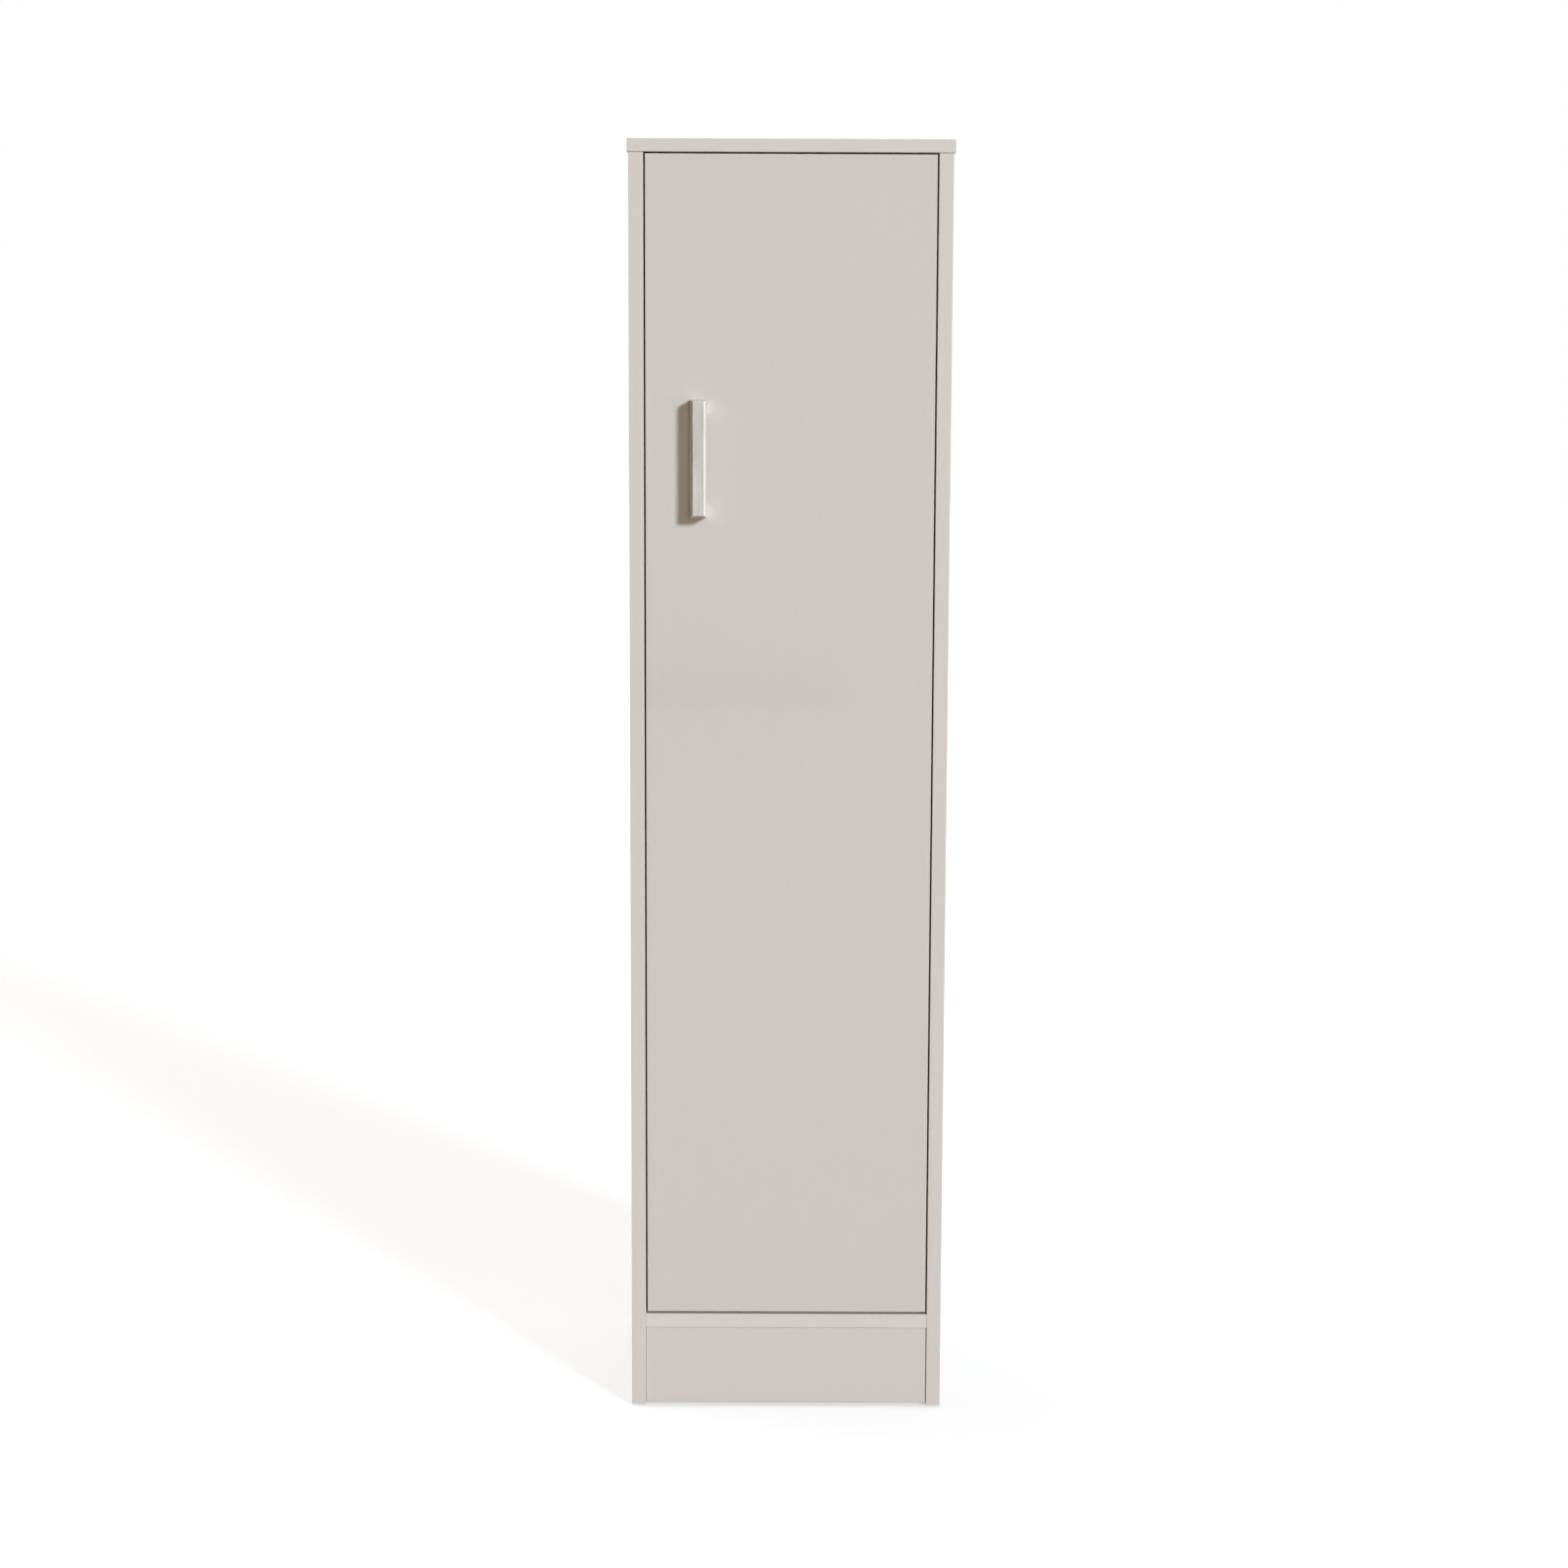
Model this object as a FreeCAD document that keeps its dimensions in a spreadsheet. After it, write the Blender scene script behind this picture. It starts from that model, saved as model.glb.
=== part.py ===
import FreeCAD, Part

import os

import Sketcher

# Broom cupboard: a tall, narrow flat-pack cupboard of melamine-faced board with one inset door.
#
# Millimetres. +Z is up, +X is to the right of someone who faces the door, and the door faces -Y.
# The origin is on the floor, at the middle of the whole object's box, handle included.

Vector = FreeCAD.Vector
doc = FreeCAD.newDocument("broom_cupboard")

# ------------------------------------------------------------------ driving dimensions

SIZES = (
    # the body
    ("overall_height", 1600, "floor to the top of the top board"),
    ("body_width", 396, "outside of one side panel to outside of the other"),
    ("body_depth", 348, "front to back of a side panel"),
    ("board", 18, "thickness of the side panels, the bottom board and the shelf"),
    ("top_thick", 16, "thickness of the top board"),
    ("overhang", 2, "how far the top board stands past the body at the front and sides"),
    ("edge_round", 0.8, "rounding of the edge bands"),
    ("shelf_space", 210, "clear height above the shelf"),
    ("shelf_setback", 2.5, "door's back face to the shelf's front edge"),
    ("plinth_height", 100, "height of the plinth board"),
    ("plinth_play", 0.5, "gap above the plinth board and at each of its ends"),
    ("plinth_lift", 2, "plinth board's lower edge above the side panels' lower edge"),
    ("plinth_thick", 16, "thickness of the plinth board"),
    ("plinth_recess", 2, "plinth board's face behind the side panels' front edges"),
    ("back_thick", 3, "thickness of the back panel"),
    ("back_inset", 12, "back panel's rear face from the side panels' rear edges"),
    ("groove_depth", 8, "depth of the grooves that hold the back panel"),
    ("groove_play", 0.1, "back panel's clearance on each face in its grooves"),
    ("groove_end_play", 1, "back panel's clearance at the bottom of its grooves"),
    ("top_groove_depth", 6, "depth of the groove in the top board"),
    # the door
    ("door_thick", 18, "thickness of the door"),
    ("side_gap", 2, "gap between the door and each side panel"),
    ("top_gap", 2, "gap between the door and the top board"),
    ("bottom_gap", 3, "gap between the door and the bottom board"),
    # the handle
    ("handle_centres", 128, "distance between the handle's two screws"),
    ("handle_leg", 16, "height of each of the handle's legs"),
    ("handle_width", 19.8, "width of the handle across its face"),
    ("handle_reach", 28, "handle's face from the door's face"),
    ("handle_bar", 8.5, "front to back of the handle's bar"),
    ("handle_bevel", 2.8, "bevel round the handle's face"),
    ("handle_inner_round", 5, "rounding of the corners inside the handle"),
    ("handle_inset", 66, "handle's centre line from the door's left edge"),
    ("handle_level", 1214, "handle's middle above the floor"),
    ("handle_bore", 2, "radius of the threaded bores in the handle's legs"),
    ("handle_bore_depth", 12, "depth of the threaded bores in the handle's legs"),
    ("handle_screw_hole", 2.5, "radius of the handle's screw holes in the door"),
    ("handle_screw_bite", 9, "length of screw in each of the handle's legs"),
    ("handle_screw_head", 4, "radius of the handle screws' heads"),
    # knock-down fittings
    ("fitting_inset", 60, "front fitting from the body's front, and rear one from the board's rear"),
    ("dowel_spacing", 32, "each cam bolt to the dowel beside it"),
    ("bolt_reach", 24, "board's end to the middle of the cam lock"),
    ("bolt_bite", 11, "length of a cam bolt's threaded end"),
    ("bolt_hole", 2.5, "radius of the hole for a cam bolt's threaded end"),
    ("shank_hole", 4, "radius of the hole for a cam bolt's shank"),
    ("bolt_collar", 3.7, "radius of a cam bolt's collar"),
    ("bolt_collar_length", 1.5, "length of a cam bolt's collar"),
    ("bolt_shank", 3, "radius of a cam bolt's shank"),
    ("bolt_neck", 2, "radius of a cam bolt's neck"),
    ("bolt_head", 3.3, "radius of a cam bolt's head"),
    ("cam_radius", 7.5, "radius of the bore for a cam lock"),
    ("cam_depth", 13.5, "depth of the bore for a cam lock"),
    ("cam_slot", 1.6, "width of a cam lock's cross slot"),
    ("cam_slot_depth", 2.5, "depth of a cam lock's cross slot"),
    ("cam_slot_reach", 4.6, "half the length of a cam lock's cross slot"),
    ("dowel_radius", 4, "radius of the bore for a dowel"),
    ("dowel_length", 30, "length of a dowel"),
    ("dowel_bite", 10, "length of dowel in the face of a board"),
    ("fit", 0.05, "clearance all round a pin, screw, dowel or cam lock in its bore"),
    ("end_play", 0.5, "clearance at the blind end of a bore"),
    # the foot of the cupboard
    ("glide_height", 3, "height of the floor glides"),
    ("glide_radius", 7.5, "radius of the floor glides"),
    ("glide_inset", 30, "glide's middle from the side panel's front or rear edge"),
    ("nail_radius", 1, "radius of a glide's nail"),
    ("nail_head", 2, "radius of the nails' heads"),
    ("nail_head_height", 0.8, "height of the nails' heads"),
    ("nail_length", 14, "length of a glide's nail in the side panel"),
    ("brace_leg", 30, "length of each leg of a plinth brace"),
    ("brace_height", 40, "height of a plinth brace"),
    ("brace_thick", 2.5, "thickness of a plinth brace"),
    ("brace_screw_line", 18, "plinth brace's screws from its corner"),
    ("screw_radius", 1.75, "radius of the small wood screws"),
    ("screw_bite", 12, "length of a small wood screw in the board"),
    ("screw_head", 3.4, "radius of a small wood screw's head"),
    ("screw_head_height", 2, "height of a small wood screw's head"),
    ("recess_slot", 1, "width of a screw's cross recess"),
    ("back_nail_radius", 0.8, "radius of the nails that hold the back panel's foot"),
    ("back_nail_length", 18, "length of those nails in the bottom board"),
    ("back_nail_inset", 54, "outer two of those nails from the side panels"),
    # the wall bracket and the door's bumpers
    ("bracket_width", 40, "width of the wall bracket"),
    ("bracket_leg", 32, "length of each leg of the wall bracket"),
    ("bracket_thick", 2, "thickness of the wall bracket"),
    ("bracket_screw_line", 19, "wall bracket's screws from the back panel"),
    ("bracket_screw_spread", 10, "each of them from the bracket's middle"),
    ("anchor_radius", 3, "radius of the hole for the wall screw"),
    ("anchor_drop", 20, "wall screw's hole below the top board"),
    ("bumper_radius", 4, "radius of the door's bumpers"),
    ("bumper_tip", 2.2, "radius of a bumper's flat tip"),
    ("bumper_play", 0.3, "bumper's face to the closed door's back"),
    ("bumper_inset", 40, "bumper's middle from the side panel"),
    # the three hinges
    ("hinge_inset", 110, "top and bottom hinges from the door's ends"),
    ("cup_radius", 17.5, "radius of the bore for a hinge cup"),
    ("cup_depth", 12.5, "depth of the bore for a hinge cup"),
    ("cup_tab", 4, "wood between the cup's bore and the door's edge"),
    ("cup_wall", 1, "thickness of the hinge cup"),
    ("cup_play", 0.1, "clearance round the hinge cup"),
    ("cup_lip", 1.5, "hinge cup's ring beyond the cup's bore"),
    ("flange_width", 14, "width of the flange's wings"),
    ("flange_thick", 1.2, "thickness of the hinge cup's flange"),
    ("flange_half", 28, "half the length of the hinge cup's flange"),
    ("cup_screw_spread", 22.5, "each cup screw above or below the cup's middle"),
    ("cup_screw_offset", 9.5, "cup screws from the cup's middle, away from the door's edge"),
    ("pivot_depth", 5.5, "cup pivot from the door's back face"),
    ("cup_link_length", 30, "cup link, pivot to pivot"),
    ("cup_link_angle", 111, "cup link's direction from +X, in degrees"),
    ("cup_link_half", 4, "half the height of a cup link"),
    ("cup_link_bar", 4, "thickness of a cup link's bar"),
    ("crank_near", 8, "cup link's first bend, along its line"),
    ("crank_near_rise", 7, "cup link's first bend, beside its line"),
    ("crank_far", 20, "cup link's second bend, along its line"),
    ("crank_far_rise", 9, "cup link's second bend, beside its line"),
    ("link_thick", 1.5, "thickness of the plates of an arm link and of an arm"),
    ("link_play", 0.3, "clearance between the plates of a hinge"),
    ("eye_radius", 3.2, "radius of the links' eyes"),
    ("pin_radius", 1.5, "radius of the hinge pins"),
    ("arm_low", 5, "arm's open edge from the side panel"),
    ("arm_high", 16, "arm's back from the side panel"),
    ("arm_rear", 80, "arm's rear end behind the body's front"),
    ("arm_mouth", 8, "length of the arm that is open behind its pivot"),
    ("arm_nose", 4.5, "radius of the arm's round nose"),
    ("web_clear", 5, "arm link's web from each of its pivots"),
    ("plate_line", 57, "plate's screws behind the body's front"),
    ("plate_spread", 16, "each plate screw above or below the plate's middle"),
    ("plate_half", 25, "half the height of a mounting plate's wings"),
    ("plate_wing", 18, "front to back of a mounting plate's wings"),
    ("plate_thick", 3, "thickness of a mounting plate's wings"),
    ("rib_length", 38, "length of the rib that carries the arm"),
    ("plate_screw_radius", 2.5, "radius of the plate screws' holes"),
    ("plate_screw_bite", 11, "length of a plate screw in the side panel"),
    ("machine_screw_radius", 2.2, "radius of the arm's two screws"),
    ("plate_screw_head", 3.8, "radius of a plate screw's head"),
    ("arm_screw_head", 4, "radius of the heads of the arm's two screws"),
    ("arm_screw_bite", 7, "length of the arm's screws in the plate's rib"),
    ("machine_screw_spread", 10, "each of the arm's screws from the plate's middle"),
)

sizes = doc.addObject("Spreadsheet::Sheet", "Sizes")
for row, (alias, value, note) in enumerate(SIZES, start=1):
    sizes.set(f"A{row}", alias)
    sizes.set(f"B{row}", str(value))
    sizes.set(f"C{row}", note)
    sizes.setAlias(f"B{row}", alias)
doc.recompute()

# ------------------------------------------------------------------ places worked out from them

PLACES = (
    ("front", "(Sizes.handle_reach - Sizes.body_depth) / 2", "body's front edge, along Y"),
    ("inner_width", "Sizes.body_width - 2 * Sizes.board", "between the side panels"),
    ("under_top", "Sizes.overall_height - Sizes.top_thick", "top board's underside"),
    ("side_height", "Places.under_top - Sizes.glide_height", "height of a side panel"),
    ("bottom_under",
     "Sizes.glide_height + Sizes.plinth_lift + Sizes.plinth_height + Sizes.plinth_play",
     "bottom board's underside"),
    ("bottom_top", "Places.bottom_under + Sizes.board", "bottom board's upper face"),
    ("shelf_under", "Places.under_top - Sizes.shelf_space - Sizes.board", "shelf's underside"),
    ("shelf_front", "Sizes.door_thick + Sizes.shelf_setback", "shelf's edge from the body's front"),
    ("back_front", "Sizes.body_depth - Sizes.back_inset - Sizes.back_thick",
     "back panel's front face from the body's front"),
    ("rear_fitting", "Places.back_front - Sizes.fitting_inset", "rear fittings from the front"),
    ("door_width", "Places.inner_width - 2 * Sizes.side_gap", "width of the door"),
    ("door_bottom", "Places.bottom_top + Sizes.bottom_gap", "door's lower edge"),
    ("door_height", "Places.under_top - Sizes.top_gap - Places.door_bottom", "height of the door"),
    ("handle_x", "Sizes.side_gap + Sizes.handle_inset - Places.inner_width / 2",
     "handle's centre line, along X"),
    ("side_face", "Places.inner_width / 2", "right side panel's inner face, along X"),
    ("cup_x", "-(Sizes.side_gap + Sizes.cup_tab + Sizes.cup_radius)",
     "cup's middle from the side panel"),
    ("pivot_y", "Sizes.door_thick - Sizes.pivot_depth", "cup pivot behind the body's front"),
    ("link_x", "Sizes.cup_link_length * cos(Sizes.cup_link_angle * 1deg)",
     "cup link's run along X"),
    ("link_y", "Sizes.cup_link_length * sin(Sizes.cup_link_angle * 1deg)",
     "cup link's run along Y"),
    ("arm_x", "Places.link_x - Sizes.side_gap", "arm pivot from the side panel"),
    ("arm_y", "Places.link_y", "arm pivot behind the body's front"),
    ("elbow_x", "Places.cup_x + Places.link_x", "elbow pin from the side panel"),
    ("elbow_y", "Places.pivot_y + Places.link_y", "elbow pin behind the body's front"),
    ("arm_link_length", "hypot(Places.elbow_x - Places.arm_x; Places.elbow_y - Places.arm_y)",
     "arm link, pivot to pivot"),
    ("arm_link_inner", "Sizes.cup_link_half + Sizes.link_play", "arm link's plates, inner faces"),
    ("arm_link_outer", "Places.arm_link_inner + Sizes.link_thick", "arm link's plates, outer faces"),
    ("arm_inner", "Places.arm_link_outer + Sizes.link_play", "arm's walls, inner faces"),
    ("arm_outer", "Places.arm_inner + Sizes.link_thick", "arm's walls, outer faces"),
)

places = doc.addObject("App::VarSet", "Places")
for name, formula, note in PLACES:
    places.addProperty("App::PropertyFloat", name, "Places", note)
    places.setExpression(name, formula)
    doc.recompute()


# ------------------------------------------------------------------ how pieces are drawn

def number(formula):
    """The value that a formula over the sheet has now."""
    return float(sizes.evalExpression(str(formula)))


def bind(thing, name, formula):
    """Ties one property of a feature to a formula over the sheet."""
    thing.setExpression(name, str(formula))


def place(thing, x="0", y="0", z="0", rotation=None):
    """Puts a piece in the cupboard's frame, or a primitive in its piece's frame."""
    if rotation is not None:
        thing.Placement.Rotation = rotation
    for axis, formula in zip("xyz", (x, y, z)):
        bind(thing, f"Placement.Base.{axis}", formula)


def new_body(label):
    body = doc.addObject("PartDesign::Body", label)
    body.Label = label
    return body


def new_sketch(body, role, level="0"):
    """A sketch on one of the body's origin planes, raised along the plane's normal."""
    sketch = body.newObject("Sketcher::SketchObject", body.Name + "_sketch")
    planes = {feature.Role: feature for feature in body.Origin.OriginFeatures}
    sketch.AttachmentSupport = [(planes[role], "")]
    sketch.MapMode = "FlatFace"
    bind(sketch, "AttachmentOffset.Base.z", level)
    return sketch


def hold(sketch, geometry, point, x, y):
    """Holds a point of a sketch at x and y from the sketch's origin."""
    for kind, formula in (("DistanceX", x), ("DistanceY", y)):
        rule = Sketcher.Constraint(kind, -1, 1, geometry, point, number(formula))
        index = sketch.addConstraint(rule)
        bind(sketch, f"Constraints[{index}]", formula)


def outline(sketch, corners):
    """A closed outline through corners given as pairs of formulas."""
    first = sketch.GeometryCount
    points = [Vector(number(x), number(y), 0) for x, y in corners]
    count = len(points)
    for index in range(count):
        sketch.addGeometry(Part.LineSegment(points[index], points[(index + 1) % count]))
    for index in range(count):
        following = first + (index + 1) % count
        sketch.addConstraint(Sketcher.Constraint("Coincident", first + index, 2, following, 1))
    for index, (x, y) in enumerate(corners):
        hold(sketch, first + index, 1, x, y)


def rectangle(sketch, x0, y0, x1, y1):
    outline(sketch, [(x0, y0), (x1, y0), (x1, y1), (x0, y1)])


def circles(sketch, centres, radius):
    for x, y in centres:
        circle = Part.Circle(Vector(number(x), number(y), 0), Vector(0, 0, 1), number(radius))
        geometry = sketch.addGeometry(circle)
        hold(sketch, geometry, 3, x, y)
        index = sketch.addConstraint(Sketcher.Constraint("Radius", geometry, number(radius)))
        bind(sketch, f"Constraints[{index}]", radius)


def pad(body, sketch, length, midplane=False, reverse=False):
    feature = body.newObject("PartDesign::Pad", body.Name + "_pad")
    feature.Profile = sketch
    feature.SideType = "Symmetric" if midplane else "One side"
    feature.Reversed = reverse
    bind(feature, "Length", length)
    doc.recompute()
    return feature


def pocket(body, sketch, depth, midplane=False, reverse=False):
    """Cuts a sketch into a body, and stops if it takes nothing away."""
    before = body.Shape.Volume
    feature = body.newObject("PartDesign::Pocket", body.Name + "_pocket")
    feature.Profile = sketch
    feature.SideType = "Symmetric" if midplane else "One side"
    feature.Reversed = reverse
    bind(feature, "Length", depth)
    doc.recompute()
    if body.Shape.Volume > before - 0.01:
        raise ValueError(f"{body.Label}: a pocket cuts nothing")
    return feature


def bores(body, role, level, centres, radius, depth, reverse=False):
    """Round holes of one radius and depth, drilled from one plane."""
    sketch = new_sketch(body, role, level)
    circles(sketch, centres, radius)
    pocket(body, sketch, depth, reverse=reverse)


def edge_names(feature, wanted):
    """The edges of a feature whose middle and direction the test accepts."""
    names = []
    for index, edge in enumerate(feature.Shape.Edges, start=1):
        middle = edge.valueAt((edge.FirstParameter + edge.LastParameter) / 2)
        direction = edge.tangentAt(edge.FirstParameter)
        if wanted(middle, direction):
            names.append(f"Edge{index}")
    return names


def round_edges(body, feature, wanted, radius):
    fillet = body.newObject("PartDesign::Fillet", body.Name + "_round")
    fillet.Base = (feature, edge_names(feature, wanted))
    bind(fillet, "Radius", radius)
    doc.recompute()


def bevel_edges(body, feature, wanted, size):
    chamfer = body.newObject("PartDesign::Chamfer", body.Name + "_bevel")
    chamfer.Base = (feature, edge_names(feature, wanted))
    bind(chamfer, "Size", size)
    doc.recompute()


def box(x0, y0, z0, x1, y1, z1):
    """A box between two corners given as formulas."""
    thing = doc.addObject("Part::Box", "box")
    bind(thing, "Length", f"({x1}) - ({x0})")
    bind(thing, "Width", f"({y1}) - ({y0})")
    bind(thing, "Height", f"({z1}) - ({z0})")
    place(thing, x0, y0, z0)
    return thing


# which way a small piece's own +Z points, and two turns about +Z itself
UP = FreeCAD.Rotation()
TO_FRONT = FreeCAD.Rotation(Vector(1, 0, 0), 90)
TO_REAR = FreeCAD.Rotation(Vector(1, 0, 0), -90)
TO_RIGHT = FreeCAD.Rotation(Vector(0, 1, 0), 90)
TO_LEFT = FreeCAD.Rotation(Vector(0, 1, 0), -90)
TURNED = FreeCAD.Rotation(Vector(0, 0, 1), 180)
QUARTER = FreeCAD.Rotation(Vector(0, 0, 1), 90)


def cylinder(radius, length, x="0", y="0", z="0", along=UP):
    """A cylinder from its foot at x, y and z."""
    thing = doc.addObject("Part::Cylinder", "cylinder")
    bind(thing, "Radius", radius)
    bind(thing, "Height", length)
    place(thing, x, y, z, along)
    return thing


def cone(foot, head, length, x="0", y="0", z="0", along=UP):
    thing = doc.addObject("Part::Cone", "cone")
    bind(thing, "Radius1", foot)
    bind(thing, "Radius2", head)
    bind(thing, "Height", length)
    place(thing, x, y, z, along)
    return thing


def fuse(label, *things):
    thing = doc.addObject("Part::MultiFuse", label)
    thing.Shapes = list(things)
    thing.Refine = True
    return thing


def cut(label, base, *tools):
    """The base with one or more tools taken away."""
    thing = doc.addObject("Part::Cut", label)
    thing.Base = base
    thing.Tool = tools[0] if len(tools) == 1 else fuse(label + "_tools", *tools)
    thing.Refine = True
    return thing


def copies(label, master, spots):
    """One node of equal pieces: the master, set at each spot (x, y, z, rotation)."""
    links = []
    for x, y, z, rotation in spots:
        link = doc.addObject("App::Link", label + "_copy")
        link.LinkedObject = master
        link.LinkTransform = True
        place(link, x, y, z, rotation)
        links.append(link)
    group = doc.addObject("Part::Compound", label)
    group.Label = label
    group.Links = links
    nodes.append(group)


nodes = []

# Where the fittings sit, front to back, measured from the body's front.
BOLT_LINES = ("Sizes.fitting_inset", "Places.rear_fitting")
DOWEL_LINES = ("Sizes.fitting_inset + Sizes.dowel_spacing", "Places.rear_fitting - Sizes.dowel_spacing")
BOARD_MIDDLES = ("Places.bottom_under + Sizes.board / 2", "Places.shelf_under + Sizes.board / 2")
FACE_DOWEL_DEPTH = "Sizes.dowel_bite + Sizes.end_play"
END_DOWEL_DEPTH = "Sizes.dowel_length - Sizes.dowel_bite + Sizes.end_play"
BOLT_DEPTH = "Sizes.bolt_bite + Sizes.end_play"
SCREW_DEPTH = "Sizes.screw_bite + Sizes.end_play"
HINGE_LEVELS = (
    "Places.door_bottom + Sizes.hinge_inset",
    "Places.door_bottom + Places.door_height / 2",
    "Places.door_bottom + Places.door_height - Sizes.hinge_inset",
)
GLIDE_LINES = ("Sizes.glide_inset", "Sizes.body_depth - Sizes.glide_inset")
BRACE_SCREWS = ("Sizes.brace_height / 4", "Sizes.brace_height * 3 / 4")
PLINTH_REAR = "Sizes.plinth_recess + Sizes.plinth_thick"
BRACE_FOOT = "Places.bottom_under - Sizes.brace_height"


# ------------------------------------------------------------------ side panels

def side_panel(label, right):
    """A board on edge. Its frame: X across its thickness, Y from its front, Z from its foot."""
    body = new_body(label)
    inner_face = "0" if right else "Sizes.board"
    sketch = new_sketch(body, "XY_Plane")
    rectangle(sketch, "0", "0", "Sizes.board", "Sizes.body_depth")
    blank = pad(body, sketch, "Places.side_height")
    round_edges(body, blank, lambda middle, way: middle.y < 0.01 and abs(way.z) > 0.9,
                "Sizes.edge_round")
    # the groove for the back panel, the full height of the panel
    sketch = new_sketch(body, "XY_Plane", "Places.side_height")
    near, far = ("0", "Sizes.groove_depth") if right else (
        "Sizes.board - Sizes.groove_depth", "Sizes.board")
    rectangle(sketch, near, "Places.back_front - Sizes.groove_play",
              far, "Sizes.body_depth - Sizes.back_inset + Sizes.groove_play")
    pocket(body, sketch, "Places.side_height")

    def drill(centres, radius, depth):
        bores(body, "YZ_Plane", inner_face, centres, radius, depth, reverse=right)

    def above_foot(level):
        return f"{level} - Sizes.glide_height"

    # bottom board and shelf: cam bolts and dowels
    drill([(y, above_foot(z)) for y in BOLT_LINES for z in BOARD_MIDDLES],
          "Sizes.bolt_hole", BOLT_DEPTH)
    drill([(y, above_foot(z)) for y in DOWEL_LINES for z in BOARD_MIDDLES],
          "Sizes.dowel_radius", FACE_DOWEL_DEPTH)
    # top board: cam locks in the face, bolts and dowels through the upper edge
    drill([(y, "Places.side_height - Sizes.bolt_reach") for y in BOLT_LINES],
          "Sizes.cam_radius", "Sizes.cam_depth")
    bores(body, "XY_Plane", "Places.side_height", [("Sizes.board / 2", y) for y in BOLT_LINES],
          "Sizes.shank_hole", "Sizes.bolt_reach")
    bores(body, "XY_Plane", "Places.side_height", [("Sizes.board / 2", y) for y in DOWEL_LINES],
          "Sizes.dowel_radius", END_DOWEL_DEPTH)
    # foot: nails of the glides, screws of the plinth brace
    bores(body, "XY_Plane", "0", [("Sizes.board / 2", y) for y in GLIDE_LINES],
          "Sizes.nail_radius + Sizes.fit", "Sizes.nail_length + Sizes.end_play", reverse=True)
    drill([(f"{PLINTH_REAR} + Sizes.brace_screw_line", above_foot(f"{BRACE_FOOT} + {z}"))
           for z in BRACE_SCREWS], "Sizes.screw_radius + Sizes.fit", SCREW_DEPTH)
    if right:
        drill([("Sizes.plate_line", above_foot(f"{level} {sign} Sizes.plate_spread"))
               for level in HINGE_LEVELS for sign in "+-"],
              "Sizes.plate_screw_radius", "Sizes.plate_screw_bite + Sizes.end_play")
    x = "Places.side_face" if right else "-Sizes.body_width / 2"
    place(body, x, "Places.front", "Sizes.glide_height")
    nodes.append(body)


side_panel("left_side_panel", right=False)
side_panel("right_side_panel", right=True)


# ------------------------------------------------------------------ top board

def top_board():
    """Lies on both side panels. Its frame: X and Y from its left front corner, Z from below."""
    body = new_body("top_board")
    sketch = new_sketch(body, "XY_Plane")
    rectangle(sketch, "0", "0", "Sizes.body_width + 2 * Sizes.overhang",
              "Sizes.body_depth + Sizes.overhang")
    blank = pad(body, sketch, "Sizes.top_thick")
    rear = number("Sizes.body_depth + Sizes.overhang")
    round_edges(body, blank, lambda middle, way: abs(way.z) < 0.1 and middle.y < rear - 0.01,
                "Sizes.edge_round")

    def from_side(offset, right):
        edge = f"Sizes.overhang + {offset}"
        return f"Sizes.body_width + 2 * Sizes.overhang - ({edge})" if right else edge

    def drill(points, radius, depth):
        bores(body, "XY_Plane", "0", [(x, f"Sizes.overhang + {y}") for x, y in points],
              radius, depth, reverse=True)

    middles = [from_side("Sizes.board / 2", right) for right in (False, True)]
    drill([(x, y) for x in middles for y in BOLT_LINES], "Sizes.bolt_hole", BOLT_DEPTH)
    drill([(x, y) for x in middles for y in DOWEL_LINES], "Sizes.dowel_radius", FACE_DOWEL_DEPTH)
    drill([(f"Sizes.overhang + Sizes.body_width / 2 {sign} Sizes.bracket_screw_spread",
            "Places.back_front - Sizes.bracket_screw_line") for sign in "+-"],
          "Sizes.screw_radius + Sizes.fit", SCREW_DEPTH)
    # the groove for the back panel's upper edge, between the side panels' grooves
    sketch = new_sketch(body, "XY_Plane")
    groove_end = "Sizes.board - Sizes.groove_depth"
    rectangle(sketch, from_side(groove_end, False),
              "Sizes.overhang + Places.back_front - Sizes.groove_play",
              from_side(groove_end, True),
              "Sizes.overhang + Sizes.body_depth - Sizes.back_inset + Sizes.groove_play")
    pocket(body, sketch, "Sizes.top_groove_depth", reverse=True)
    place(body, "-Sizes.body_width / 2 - Sizes.overhang", "Places.front - Sizes.overhang",
          "Places.under_top")
    nodes.append(body)


top_board()


# ------------------------------------------------------------------ bottom board and shelf

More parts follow.
